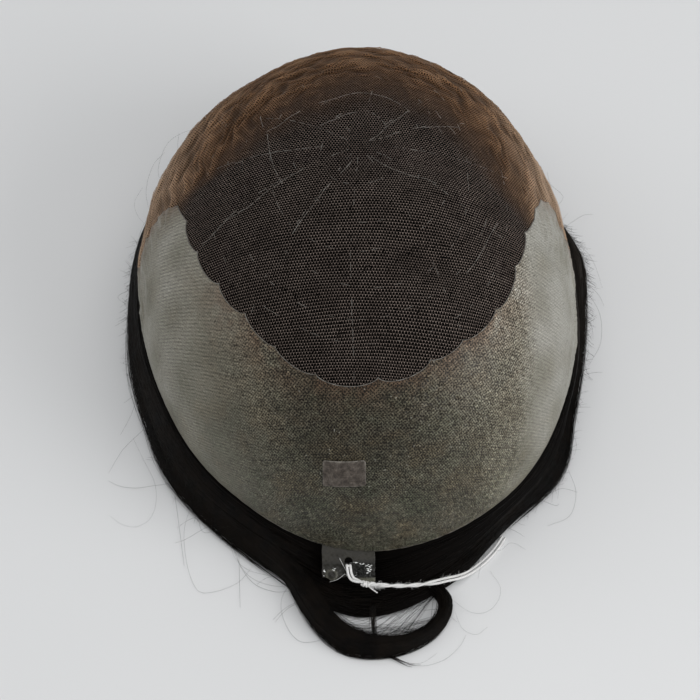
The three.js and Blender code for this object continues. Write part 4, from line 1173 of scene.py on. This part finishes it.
# ---------------------------------------------------------------- tab
def tab_piece():
    """Clear punched tab: crumpled on the right, curled on the left, torn along its lower edge."""
    wide, long = 92, 58
    x = np.linspace(TAB_LEFT, TAB_RIGHT, wide)
    share = (x - TAB_LEFT) / (TAB_RIGHT - TAB_LEFT)
    rim = dome(np.degrees(x / 97.5), np.ones(wide))
    start = (tab_root[1] - (rim[:, 1] - 0.35)) / math.cos(TAB_SLOPE) - 0.25
    end = TAB_LENGTH * np.interp(share, *TAB_END.T) + 0.16 * wavy(x / 0.35, x * 0, 61)
    v = np.linspace(0, 1, long)[:, None]
    along = start[None] + (end - start)[None] * v
    across = np.broadcast_to(x[None], along.shape).copy()
    across += 0.12 * wavy(along / 0.8, across / 30, 62) * (smooth(share, 0.04, 0.0) + smooth(share, 0.96, 1.0))[None]
    hx, hy, hr = TAB_HOLE
    quads = grid_faces(long, wide)
    tri = np.vstack([quads[:, [0, 1, 2]], quads[:, [0, 2, 3]]])
    flat = np.stack([across.ravel(), along.ravel()], 1)
    heart = flat[tri].mean(1)
    tri = tri[np.hypot(heart[:, 0] - hx, heart[:, 1] - hy) > hr]
    edges = np.sort(np.vstack([tri[:, [0, 1]], tri[:, [1, 2]], tri[:, [2, 0]]]), 1)
    one, count = np.unique(edges, axis=0, return_counts=True)
    outline = np.unique(one[count == 1])
    off = flat[outline] - [hx, hy]
    far = np.hypot(*off.T)
    ring = far < hr + 0.5
    flat[outline[ring]] = [hx, hy] + off[ring] / far[ring, None] * hr
    a, b = flat.T
    right_crumple = smooth(a, -2.4, -1.0) * smooth(b, 3.2, 4.6) * smooth(b, 9.8, 8.4)
    left_curl = smooth(a, -4.6, -6.4) * smooth(b, 4.2, 6.0)
    ridge = np.abs(wavy(a / 0.42, b / 0.5, 63)) + 0.6 * np.abs(wavy(a / 0.2, b / 0.26, 64))
    above = 0.34 * right_crumple * (ridge - 0.5)
    curl = np.hypot(a + 9.6, b - 8.0)
    above += left_curl * (0.45 * np.cos(np.clip(curl / 1.5, 0, 3.1)) + 0.12 * (ridge - 0.6))
    above += 0.5 * left_curl * smooth(a, -11.6, -12.8)
    above += 0.1 * wavy(a / 1.6, b / 1.6, 65) + 0.03 * wavy(a / 0.3, b / 0.3, 66)
    above *= smooth(b, 0.0, 2.0)
    above = above + 0.05
    pressed = smooth(b, 7.8, 10.4)
    above -= 0.35 * pressed * smooth(a, -1.0, 1.5)
    upper, lower = tab_point(a, b, above), tab_point(a, b, above - 0.2)
    n = len(flat)
    walls = np.vstack([tri[:, [0, 1]], tri[:, [1, 2]], tri[:, [2, 0]]])
    _, first, count = np.unique(np.sort(walls, 1), axis=0, return_index=True, return_counts=True)
    walls = walls[first[count == 1]]
    points = np.vstack([upper, lower])
    normal = np.cross(upper[tri[:, 1]] - upper[tri[:, 0]], upper[tri[:, 2]] - upper[tri[:, 0]]).sum(0)
    if normal @ tab_up < 0:
        tri, walls = tri[:, ::-1], walls[:, ::-1]
    wall = np.stack([walls[:, 1], walls[:, 0], n + walls[:, 0], n + walls[:, 1]], 1)
    # smoky at the root, clear where it is crumpled, milky along the pressed lower end, with a painted highlight ring on
    # the curl and sharp painted glints on the creases
    clear = smooth(b, 2.4, 4.4) * (0.55 + 0.45 * smooth(a, -5.0, -2.5))
    # milky along the pressed end, and a painted highlight ring round the curl
    milky_and_curl_highlight = smooth(b, 8.5, 9.2) * smooth(a, -1.6, -0.2) + 0.55 * np.exp(-(((curl - 1.7) / 0.4) ** 2)) * left_curl
    # painted glints: light spots on the creases
    spot = np.zeros(n)
    for sa, sb, wa, wb, high in (
        (-1.6, 3.9, 0.9, 0.35, 1.3), (0.4, 4.3, 1.2, 0.35, 1.1), (2.6, 4.9, 1.3, 0.45, 1.3), (2.7, 6.2, 0.9, 0.9, 1.5),
        (2.2, 7.2, 0.6, 0.5, 1.2), (-1.2, 7.3, 0.3, 0.3, 1), (-8.9, 6.2, 0.5, 0.7, 1.4), (-8.3, 5.6, 0.5, 0.3, 1.2),
        (-12.0, 6.7, 0.45, 0.6, 1.2), (-12.3, 8.2, 0.35, 0.5, 1),
    ):  # fmt: skip
        spot = np.maximum(spot, high * np.exp(-(((a - sa) / wa) ** 2) - (((b - sb) / wb) ** 2)))
    glint = spot * smooth(wavy(a / 0.12, b / 0.1, 67, 14), -0.1, 0.3)
    used = np.unique(tri)
    back = np.full(2 * n, -1)
    back[np.r_[used, n + used]] = np.arange(2 * len(used))
    keep = np.r_[used, n + used]
    return piece(
        "film_tab", points[keep], [back[np.vstack([tri, n + tri[:, ::-1]])], back[wall]], TAB,
        ("poly_tab",), values={key: np.r_[v, v][keep] for key, v in (("clear", clear), ("milky_and_curl_highlight", milky_and_curl_highlight), ("glint", glint))},
    )  # fmt: skip


tab_piece()

# ---------------------------------------------------------------- hair
UNDER_RIM, FIRST_OUT, TOE, TOE_IN, WALL, HOLLOW_TOP, HOLLOW_FULL = 0.8, 0.5, 1.5, 1.2, 17.0, 81.0, 0.92


def skirt(azimuth, share):
    """Radius and height of the skirt: share 0 under the rim, 1 at its outer edge near the table."""
    az, share = np.broadcast_arrays(np.asarray(azimuth, float), np.asarray(share, float))
    radius, height = around(RIM_RADIUS, az), around(RIM_HEIGHT, az) - UNDER_RIM
    reach = around(SKIRT_REACH, az)
    fall = 0.62 + 0.58 * (reach / SKIRT_REACH[0]) ** 2
    turn = np.abs((az + 2.0 + 540) % 360 - 180)
    dip = np.where(turn < 13, 4.6 * np.cos(np.minimum(turn / 13, 1) * np.pi / 2) ** 2, 0)
    in_share = np.clip(share, 0, 1)
    z = TOE + (height - TOE) * (1 - in_share) ** fall - dip * (1 - smooth(in_share, 0.5, 1))
    return radius + FIRST_OUT + (reach - FIRST_OUT) * share, z


def skirt_point(azimuth, share, lift):
    """A point on the skirt, lifted off it."""
    r0, z0 = skirt(azimuth, np.clip(share - 0.02, 0, 0.97))
    r1, z1 = skirt(azimuth, np.clip(share + 0.02, 0.02, 1.0))
    dr, dz = r1 - r0, z1 - z0
    size = np.maximum(np.hypot(dr, dz), 1e-9)
    r, z = skirt(azimuth, share)
    return polar(azimuth, r - dz / size * lift, np.maximum(z + dr / size * lift, 0.12))


def swell(azimuth):
    """Where the hair on the right puffs out, 0 to 1."""
    az = (np.asarray(azimuth, float) + 180) % 360 - 180
    return np.exp(-(((az - 107) / 9) ** 2)) + np.exp(-(((az - 51) / 7.5) ** 2))


def hair_base():
    columns = 390
    az = np.arange(columns) * 360 / columns
    rings, marks = [], []
    for t in np.linspace(0.08, 0.98, 8):
        rings.append(dome_point(az, np.full(columns, t), -1.55, False))
        marks.append(t * 100)
    rings.append(polar(az, around(RIM_RADIUS, az) - 1.75, around(RIM_HEIGHT, az) - 0.8))
    marks.append(104)
    rows = 50
    for share in np.linspace(0, 1, rows):
        x = np.radians(az) * 92
        flow = share * 24 + 0.10 * x
        comb = np.sin(flow * 3.3 + 1.6 * wavy(x / 24, share * 3 + 0 * x, 71)) * 0.5 + wavy(x / 60, flow * 2.3, 72) * 0.8
        lock = wavy(x / 55, flow * 0.55, 73)
        lift = (0.22 * comb + 0.4 * lock) * smooth(share, 0.0, 0.12) * (1 - 0.5 * smooth(share, 0.85, 1.0))
        lift = lift + 1.7 * swell(az) * smooth(share, 0.2, 0.6)
        rings.append(skirt_point(az, np.full(columns, share), lift))
        marks.append(106 + share * 24)
    foot = around(RIM_RADIUS, az) + around(SKIRT_REACH, az) - TOE_IN
    rings.append(polar(az, foot, np.full(columns, 0.02)))
    marks.append(132)
    for i in range(10):
        turn = (1 - i / 10) * np.pi / 2
        comb = 0.6 * np.sin(np.radians(az) * 75 + 3 * wavy(np.radians(az) * 8, i / 5 + 0 * az, 74))
        r = (around(RIM_RADIUS, az) - WALL) * np.sin(turn) ** HOLLOW_FULL + comb * np.sin(turn)
        rings.append(polar(az, r, np.full(columns, HOLLOW_TOP * math.cos(turn) + (0.02 if i == 0 else 0))))
        marks.append(134 + 6 * i)
    n = len(rings)
    top = dome(np.array([0.0]), np.array([0.0])) - [0, 0, 1.75]
    points = np.vstack([np.vstack(rings), top, [[0, 0, HOLLOW_TOP]]])
    k = np.arange(columns)
    nx = (k + 1) % columns
    quads = grid_faces(n, columns, True)[:, ::-1]
    cap = np.stack([np.full(columns, n * columns), nx, k], 1)[:, ::-1]
    low = np.stack([np.full(columns, n * columns + 1), (n - 1) * columns + k, (n - 1) * columns + nx], 1)[:, ::-1]
    along = np.broadcast_to(np.radians(az) * 92, (n, columns))
    uv = np.stack([along, np.broadcast_to(np.array(marks)[:, None], (n, columns)) + 0.1 * along], -1).reshape(-1, 2)
    uv = np.vstack([uv, [[0, 0], [0, 0]]])
    signed = np.cross(points[quads[0, 1]] - points[quads[0, 0]], points[quads[0, 2]] - points[quads[0, 0]])
    faces = [quads, cap, low]
    if signed[2] < 0:
        faces = [f[:, ::-1] for f in faces]
    return piece("hair_mass", points, faces, HAIR, ("hair_body",), uv=uv)


hair_base()


def lock_line(n):
    p = through(LOCK_LINE, n)
    line = np.c_[p[:, :2], np.zeros(n)]
    way = unit(np.gradient(line, axis=0))
    side = np.stack([way[:, 1], -way[:, 0], np.zeros(n)], 1)
    return line, side, p[:, 2], p[:, 3]


def hair_lock():
    n, sides = 120, 48
    line, side, wide, high = lock_line(n)
    turn = np.linspace(0, 2 * np.pi, sides, endpoint=False)[None, :]
    s = np.linspace(0, 1, n)[:, None]
    comb = 1 + 0.035 * np.sin(turn * 9 + 5 * s) + 0.03 * np.sin(turn * 17 - 9 * s + 2 * np.sin(8 * s)) + 0.02 * np.sin(turn * 5 + 14 * s)
    p = line[:, None] + side[:, None] * (wide[:, None] * np.cos(turn) * comb)[..., None]
    p[..., 2] = np.maximum(0.03, high[:, None] * (0.75 + np.sin(turn) * comb))
    points = np.vstack([p.reshape(-1, 3), p[0].mean(0)[None], p[-1].mean(0)[None]])
    k = np.arange(sides)
    nx = (k + 1) % sides
    quads = grid_faces(n, sides, True)
    first = np.stack([np.full(sides, n * sides), nx, k], 1)
    last = np.stack([np.full(sides, n * sides + 1), (n - 1) * sides + k, (n - 1) * sides + nx], 1)
    f = quads[10 * sides + 16]
    faces = [quads, first, last]
    if np.cross(points[f[1]] - points[f[0]], points[f[2]] - points[f[0]])[2] < 0:
        faces = [x[:, ::-1] for x in faces]
    long = np.linspace(0, 113, n)[:, None]
    uv = np.stack(np.broadcast_arrays(long, turn * 3.2 + 0.02 * long), -1).reshape(-1, 2)
    return piece("hair_lock_mass", points, faces, HAIR, ("hair_lock",), uv=np.vstack([uv, [[0, 0], [113, 0]]]))


hair_lock()


def clear_of_thread(paths):
    """Which strands don't pass through or over the tie thread."""
    n, places, _ = paths.shape
    at = np.linspace(0, places - 1, 5 * places)
    i = np.minimum(at.astype(int), places - 2)
    f = (at - i)[None, :, None]
    fine = (paths[:, i] * (1 - f) + paths[:, i + 1] * f).reshape(-1, 3)
    line = middle[60::3]
    near = np.zeros(len(fine), bool)
    for k in range(0, len(fine), 4000):
        p = fine[k : k + 4000]
        far = np.hypot(p[:, None, 0] - line[None, :, 0], p[:, None, 1] - line[None, :, 1])
        best = far.argmin(1)
        near[k : k + 4000] = (far.min(1) < 1.2) & (p[:, 2] > line[best, 2] - 0.6)
    return ~near.reshape(n, -1).any(1)


def skirt_strands(count, a_from, a_to, share_from, share_to, lift, seed, places=11, thick=(0.05, 0.09), stray=0.0):
    """Strands combed along the skirt between two ranges of azimuth."""
    r = np.random.default_rng(seed)
    w = np.linspace(0, 1, places)[None, :]
    a0 = r.uniform(min(a_from), max(a_from), (count, 1))
    a1 = r.uniform(min(a_to), max(a_to), (count, 1))
    s0 = r.uniform(*share_from, (count, 1))
    s1 = np.clip(s0 + r.uniform(*share_to, (count, 1)), 0.03, 1.12)
    az = a0 + (a1 - a0) * w
    share = s0 + (s1 - s0) * w + 0.03 * np.sin(w * r.uniform(2, 7, (count, 1)) + r.uniform(0, 6, (count, 1)))
    up = r.uniform(*lift, (count, 1)) + stray * r.random((count, 1)) ** 3 * np.sin(np.pi * w)
    up = up + 1.7 * swell(az) * smooth(share, 0.2, 0.6)
    p = skirt_point(az, np.clip(share, 0.0, 1.15), up)
    radius = r.uniform(*thick, (count, 1)) * (0.35 + 0.65 * np.sin(np.pi * np.clip(w * 0.94 + 0.03, 0, 1)) ** 0.5)
    keep = clear_of_thread(p)
    return strands(p[keep], radius[keep])


def edge_fuzz(count, seed, places=5):
    """Short fine hairs that stand off the skirt's outer edge and blur it."""
    r = np.random.default_rng(seed)
    paths = []
    w = np.linspace(0, 1, places)[:, None]
    while len(paths) < count:
        az = r.uniform(30, 118) if r.random() < 0.66 else r.uniform(-112, -24)
        start = skirt_point(np.array(az), np.array(r.uniform(0.55, 1.0)), np.array(0.1 + 1.7 * float(swell(az))))
        out = polar(np.array(az), 1.0, 0.0)
        along = np.array([-out[1], out[0], 0.0]) * (-np.sign(az) if r.random() < 0.8 else np.sign(az))
        aim = unit(out * r.uniform(0.15, 1.3) + along + np.array([0, 0, r.uniform(-0.15, 0.25)]))
        p = start + r.uniform(1.2, 5.5) * (aim * w + r.normal(0, 0.22) * out * w**2)
        p[:, 2] = np.maximum(p[:, 2], 0.1)
        paths.append(p)
    return strands(np.array(paths), taper(count, places, 0.022, 0.042, r))


def lock_edge(count, seed, places=14):
    """Hairs that have parted from the lock and run beside its outer edge."""
    r = np.random.default_rng(seed)
    w = np.linspace(0, 1, places)[None, :]
    start, stop = r.uniform(0.2, 0.42, (count, 1)), r.uniform(0.5, 0.74, (count, 1))
    across = 1.0 + r.uniform(0.04, 0.42, (count, 1)) * np.sin(np.pi * w) ** 0.8
    p = lock_top(start + (stop - start) * w, across, 0.0)
    p[..., 2] = np.maximum(0.12, p[..., 2] - r.uniform(0.4, 2.4, (count, 1)))
    return strands(p, taper(count, places, 0.028, 0.05, r))


def lock_strands(count, seed, places=16, loose=0.25, thick=(0.05, 0.09)):
    """Strands that follow the lock, some standing off it."""
    r = np.random.default_rng(seed)
    line, side, wide, high = lock_line(200)
    w = np.linspace(0, 1, places)[None, :]
    start, stop = r.uniform(0.12, 0.35, (count, 1)), r.uniform(0.62, 0.9, (count, 1))
    at = (start + (stop - start) * w) * 199
    turn = r.uniform(-0.5, np.pi + 0.5, (count, 1)) + r.uniform(-0.7, 0.7, (count, 1)) * w
    off = 1.0 + r.uniform(0.0, 0.06, (count, 1)) + loose * r.random((count, 1)) ** 3 * np.sin(np.pi * w)
    pick = lambda a: np.stack([np.interp(at, np.arange(200), a[:, k]) for k in range(3)], -1)
    p = pick(line) + pick(side) * (np.interp(at, np.arange(200), wide) * np.cos(turn) * off)[..., None]
    p[..., 2] = np.maximum(0.1, np.interp(at, np.arange(200), high) * (0.75 + np.sin(turn) * off))
    radius = r.uniform(*thick, (count, 1)) * (0.3 + 0.7 * np.sin(np.pi * np.clip(w * 0.94 + 0.03, 0, 1)) ** 0.5)
    keep = clear_of_thread(p)
    return strands(p[keep], radius[keep])


def lock_top(at, across, lift):
    """Points on the lock: at runs along it from 0 to 1, across from -1 inside to 1 outside."""
    line, side, wide, high = lock_line(240)
    k = np.linspace(0, 1, 240)
    pick = lambda v: np.stack([np.interp(at, k, v[:, i]) for i in range(3)], -1)
    p = pick(line) + pick(side) * (np.interp(at, k, wide) * across)[..., None]
    p[..., 2] = np.maximum(0.12, np.interp(at, k, high) * (0.75 + np.sqrt(np.maximum(0, 1 - across**2))) + lift)
    return p


def taper(count, places, low, high, r):
    w = np.linspace(0.03, 0.97, places)[None, :]
    return r.uniform(low, high, (count, 1)) * (0.35 + 0.65 * np.sin(np.pi * w) ** 0.5)


def joining_strands(count, seed, left, places=18):
    """Strands that run from the skirt on into the lock, so that its ends don't show."""
    r = np.random.default_rng(seed)
    paths = []
    for _ in range(count):
        c, lift = r.uniform(-0.95, 1.0), r.uniform(0.02, 0.3)
        if left:
            body = skirt_point(
                np.linspace(r.uniform(-85, -45), -19, 6), np.linspace(r.uniform(0.25, 0.95), 0.55 + 0.36 * c, 6), np.full(6, 0.2 + lift)
            )
            tail = lock_top(np.linspace(0.2, r.uniform(0.4, 0.85), 6), np.linspace(c, np.clip(c + r.uniform(-0.3, 0.3), -1, 1), 6), np.full(6, lift))
        else:
            body = skirt_point(
                np.linspace(r.uniform(28, 52), 15.5, 4), np.linspace(r.uniform(0.3, 0.9), 0.72 + 0.2 * c, 4), np.full(4, 0.2 + lift)
            )
            tail = lock_top(np.linspace(0.82, r.uniform(0.4, 0.65), 6), np.linspace(c, np.clip(c + r.uniform(-0.3, 0.3), -1, 1), 6), np.full(6, lift))
        paths.append(through(np.vstack([body, tail]), places))
    paths = np.array(paths)
    keep = clear_of_thread(paths)
    return strands(paths[keep], taper(count, places, 0.045, 0.085, r)[keep])


# The gap inside the lock's loop: its upper edge under the skirt, and its lower edge along the lock.
GAP_TOP = [(-6.9, -115.6), (-0.2, -117.6), (5.7, -117.0), (11.3, -116.2), (19.0, -113.2), (24.0, -110.2)]
GAP_LOW = [(-5.5, -118.2), (-0.2, -123.4), (7.3, -125.6), (14.8, -124.6), (20.4, -122.6), (25.5, -117.6)]


def gap_strands(count, seed, places=14):
    """Fine hairs that cross the gap, and the dark wisp that hangs in it."""
    r = np.random.default_rng(seed)
    top, low = through(GAP_TOP, 200), through(GAP_LOW, 200)
    paths, wide = [], []
    for i in range(count):
        if i % 3 == 2:
            a = np.array([4.0, -113.5]) + r.normal(0, 0.5, 2)
            b = np.array([4.4, -126.4]) + r.normal(0, 0.6, 2)
            sway = r.normal(0, 0.35) if i % 30 else r.choice([-1.6, 1.6])
            z = (5.0, 4.4)
            wide.append(r.uniform(0.045, 0.075))
        else:
            u = r.uniform(0.04, 0.66)
            a = low[int(u * 199)]
            reach = np.clip(u + r.uniform(0.3, 0.75), 0, 1)
            b = top[int(reach * 199)] if i % 3 else low[int(max(reach, 0.78) * 199)]
            way = unit(b - a)
            a, b = a - way * r.uniform(0.5, 3.0), b + way * r.uniform(0.5, 4.0)
            sway = r.normal(0.3, 0.8)
            z = (r.uniform(1.5, 4.0), r.uniform(1.5, 3.5))
            wide.append(r.uniform(0.022, 0.045))
        w = np.linspace(0, 1, places)
        flat = a + (b - a) * w[:, None] + sway * np.sin(np.pi * w)[:, None] * np.array([-(b - a)[1], (b - a)[0]]) / np.linalg.norm(b - a)
        paths.append(np.c_[flat, z[0] + (z[1] - z[0]) * w + 0.5 * np.sin(np.pi * w)])
    return strands(np.array(paths), np.array(wide)[:, None] * np.ones((1, places)))


def loose_hairs(seed, places=30):
    """Hairs that have come away from the edge and lie on the table."""
    r = np.random.default_rng(seed)
    paths = []
    w = np.linspace(0, 1, places)
    for height, line in LOOSE:
        flat = through(line, places)
        paths.append(np.c_[flat, 0.15 + height * np.sin(np.pi * np.clip(0.5 + 0.5 * w, 0, 1))])
    for _ in range(90):
        az = r.uniform(-105, 105) if r.random() < 0.75 else r.uniform(105, 255)
        start = skirt_point(np.array(az), np.array(r.uniform(0.75, 1.0)), np.array(0.2))
        out = polar(np.array(az), 1.0, 0.0)
        along = np.array([-out[1], out[0], 0.0]) * r.choice([-1, 1])
        size = r.uniform(5, 17)
        aim = unit(out * r.uniform(0.1, 0.55) + along)
        p = start + size * (aim * w[:, None] + r.normal(0, 0.28) * out * w[:, None] ** 2 + r.normal(0, 0.1) * out * np.sin(2 * np.pi * w)[:, None])
        p[:, 2] = np.maximum(0.12, start[2] * (1 - w) + r.uniform(0.0, 2.2) * np.sin(np.pi * w) + 0.12)
        if np.abs(p[:, 0] + PLACE[0]).max() < 95:
            paths.append(p)
    return strands(np.array(paths), taper(len(paths), places, 0.026, 0.042, r))


def tail_wisp(count, seed, places=12):
    """The dark end of the lock: a small bundle that leaves its lower edge and fans out."""
    r = np.random.default_rng(seed)
    line = through([(0.5, -128.0), (5.0, -129.3), (9.5, -130.5), (13.2, -132.2), (16.2, -133.4), (19.5, -133.5)], 60)
    w = np.linspace(0, 1, places)[:, None]
    paths = []
    for _ in range(count):
        stop = r.uniform(0.45, 1.0)
        at = (w[:, 0] * stop * 59).astype(int)
        off = r.normal(0, 0.22, 2) + r.normal(0, 0.55, 2) * (w * stop) ** 2
        paths.append(np.c_[line[at] + off, 1.6 - 1.1 * w * stop + r.uniform(-0.2, 0.3)])
    return strands(np.array(paths), taper(count, places, 0.05, 0.09, r))


def under_tab(count, seed, places=8):
    """Hair close under the punched hole, in front of the stop knot."""
    r = np.random.default_rng(seed)
    w = np.linspace(0, 1, places)[None, :]
    a = r.uniform(-11, -7, (count, 1)) * (1 - w) + r.uniform(-1.5, 2.5, (count, 1)) * w
    b = r.uniform(1.4, 5.4, (count, 1)) + r.uniform(-0.6, 0.6, (count, 1)) * w
    p = tab_point(a, b, -0.85 - 0.3 * r.random((count, 1)) + 0 * w)
    return strands(p, r.uniform(0.08, 0.13, (count, 1)) * np.ones((1, places)))


strand_sets = {
    "hair_strands_left": [
        skirt_strands(520, (-104, -50), (-42, 6), (0.05, 0.95), (-0.05, 0.22), (0.05, 0.6), 81),
        skirt_strands(230, (-100, -60), (-50, -14), (0.8, 1.02), (0.0, 0.1), (0.1, 0.7), 82, stray=2.0, thick=(0.03, 0.055)),
    ],
    "hair_strands_right": [
        skirt_strands(440, (102, 55), (44, -4), (0.05, 0.95), (-0.05, 0.22), (0.05, 0.6), 83),
        skirt_strands(200, (100, 60), (52, 12), (0.75, 1.02), (0.0, 0.1), (0.1, 0.7), 84, stray=2.0, thick=(0.03, 0.055)),
    ],
    "hair_strands_front": [
        skirt_strands(250, (178, 130), (118, 88), (0.05, 0.8), (0.0, 0.3), (0.05, 0.5), 85),
        skirt_strands(250, (182, 230), (242, 272), (0.05, 0.8), (0.0, 0.3), (0.05, 0.5), 86),
    ],
    "hair_strands_lock": [
        lock_strands(300, 87, loose=0.1), lock_strands(130, 93, loose=0.6, thick=(0.028, 0.05)),
        joining_strands(230, 88, True), joining_strands(110, 89, False), gap_strands(120, 90), under_tab(60, 91),
        lock_edge(60, 94), tail_wisp(26, 95),
    ],
    "hair_loose": [loose_hairs(92), edge_fuzz(1250, 96)],
}  # fmt: skip
for name, parts in strand_sets.items():
    points, faces = joined(parts)
    piece(name, points, faces, STRAND)


# ---------------------------------------------------------------- floor and light
def floor():
    mesh = bpy.data.meshes.new("table")
    n = 24
    g = np.linspace(-3.0, 3.0, n)
    x, y = np.meshgrid(g, g)
    mesh.from_pydata(np.stack([x, y, 0 * x], -1).reshape(-1, 3).tolist(), [], grid_faces(n, n).tolist())
    mesh.materials.append(TABLE)
    obj = bpy.data.objects.new("table", mesh)
    bpy.context.scene.collection.objects.link(obj)


floor()


def area_light(name, place, aim, size, energy, colour=(1, 1, 1)):
    light = bpy.data.lights.new(name, "AREA")
    light.shape, light.size, light.size_y = "RECTANGLE", size[0], size[1]
    light.energy, light.color = energy, colour
    obj = bpy.data.objects.new(name, light)
    bpy.context.scene.collection.objects.link(obj)
    back = unit(np.array(place, float) - np.array(aim, float))
    x = unit(np.cross([0.0, 1.0, 0.02], back))
    y = np.cross(back, x)
    obj.matrix_world = Matrix([[x[k], y[k], back[k], place[k]] for k in range(3)] + [[0, 0, 0, 1]])
    return obj


world = bpy.data.worlds.new("studio")
bpy.context.scene.world = world
world.use_nodes = True
background = world.node_tree.nodes["Background"]
background.inputs["Color"].default_value = (0.975, 0.985, 1.0, 1)
background.inputs["Strength"].default_value = 0.45
area_light("soft_top", (0.1, -0.05, 1.6), (0, 0, 0), (1.6, 1.6), 7.5)
area_light("soft_right", (1.15, -0.5, 0.62), (0, 0, 0.04), (0.9, 0.9), 9.5)
area_light("soft_left", (-1.3, 0.1, 0.7), (0, 0, 0.04), (1.0, 1.0), 3.5)

scene = bpy.context.scene
scene.view_settings.view_transform = "Standard"
scene.view_settings.look = "None"
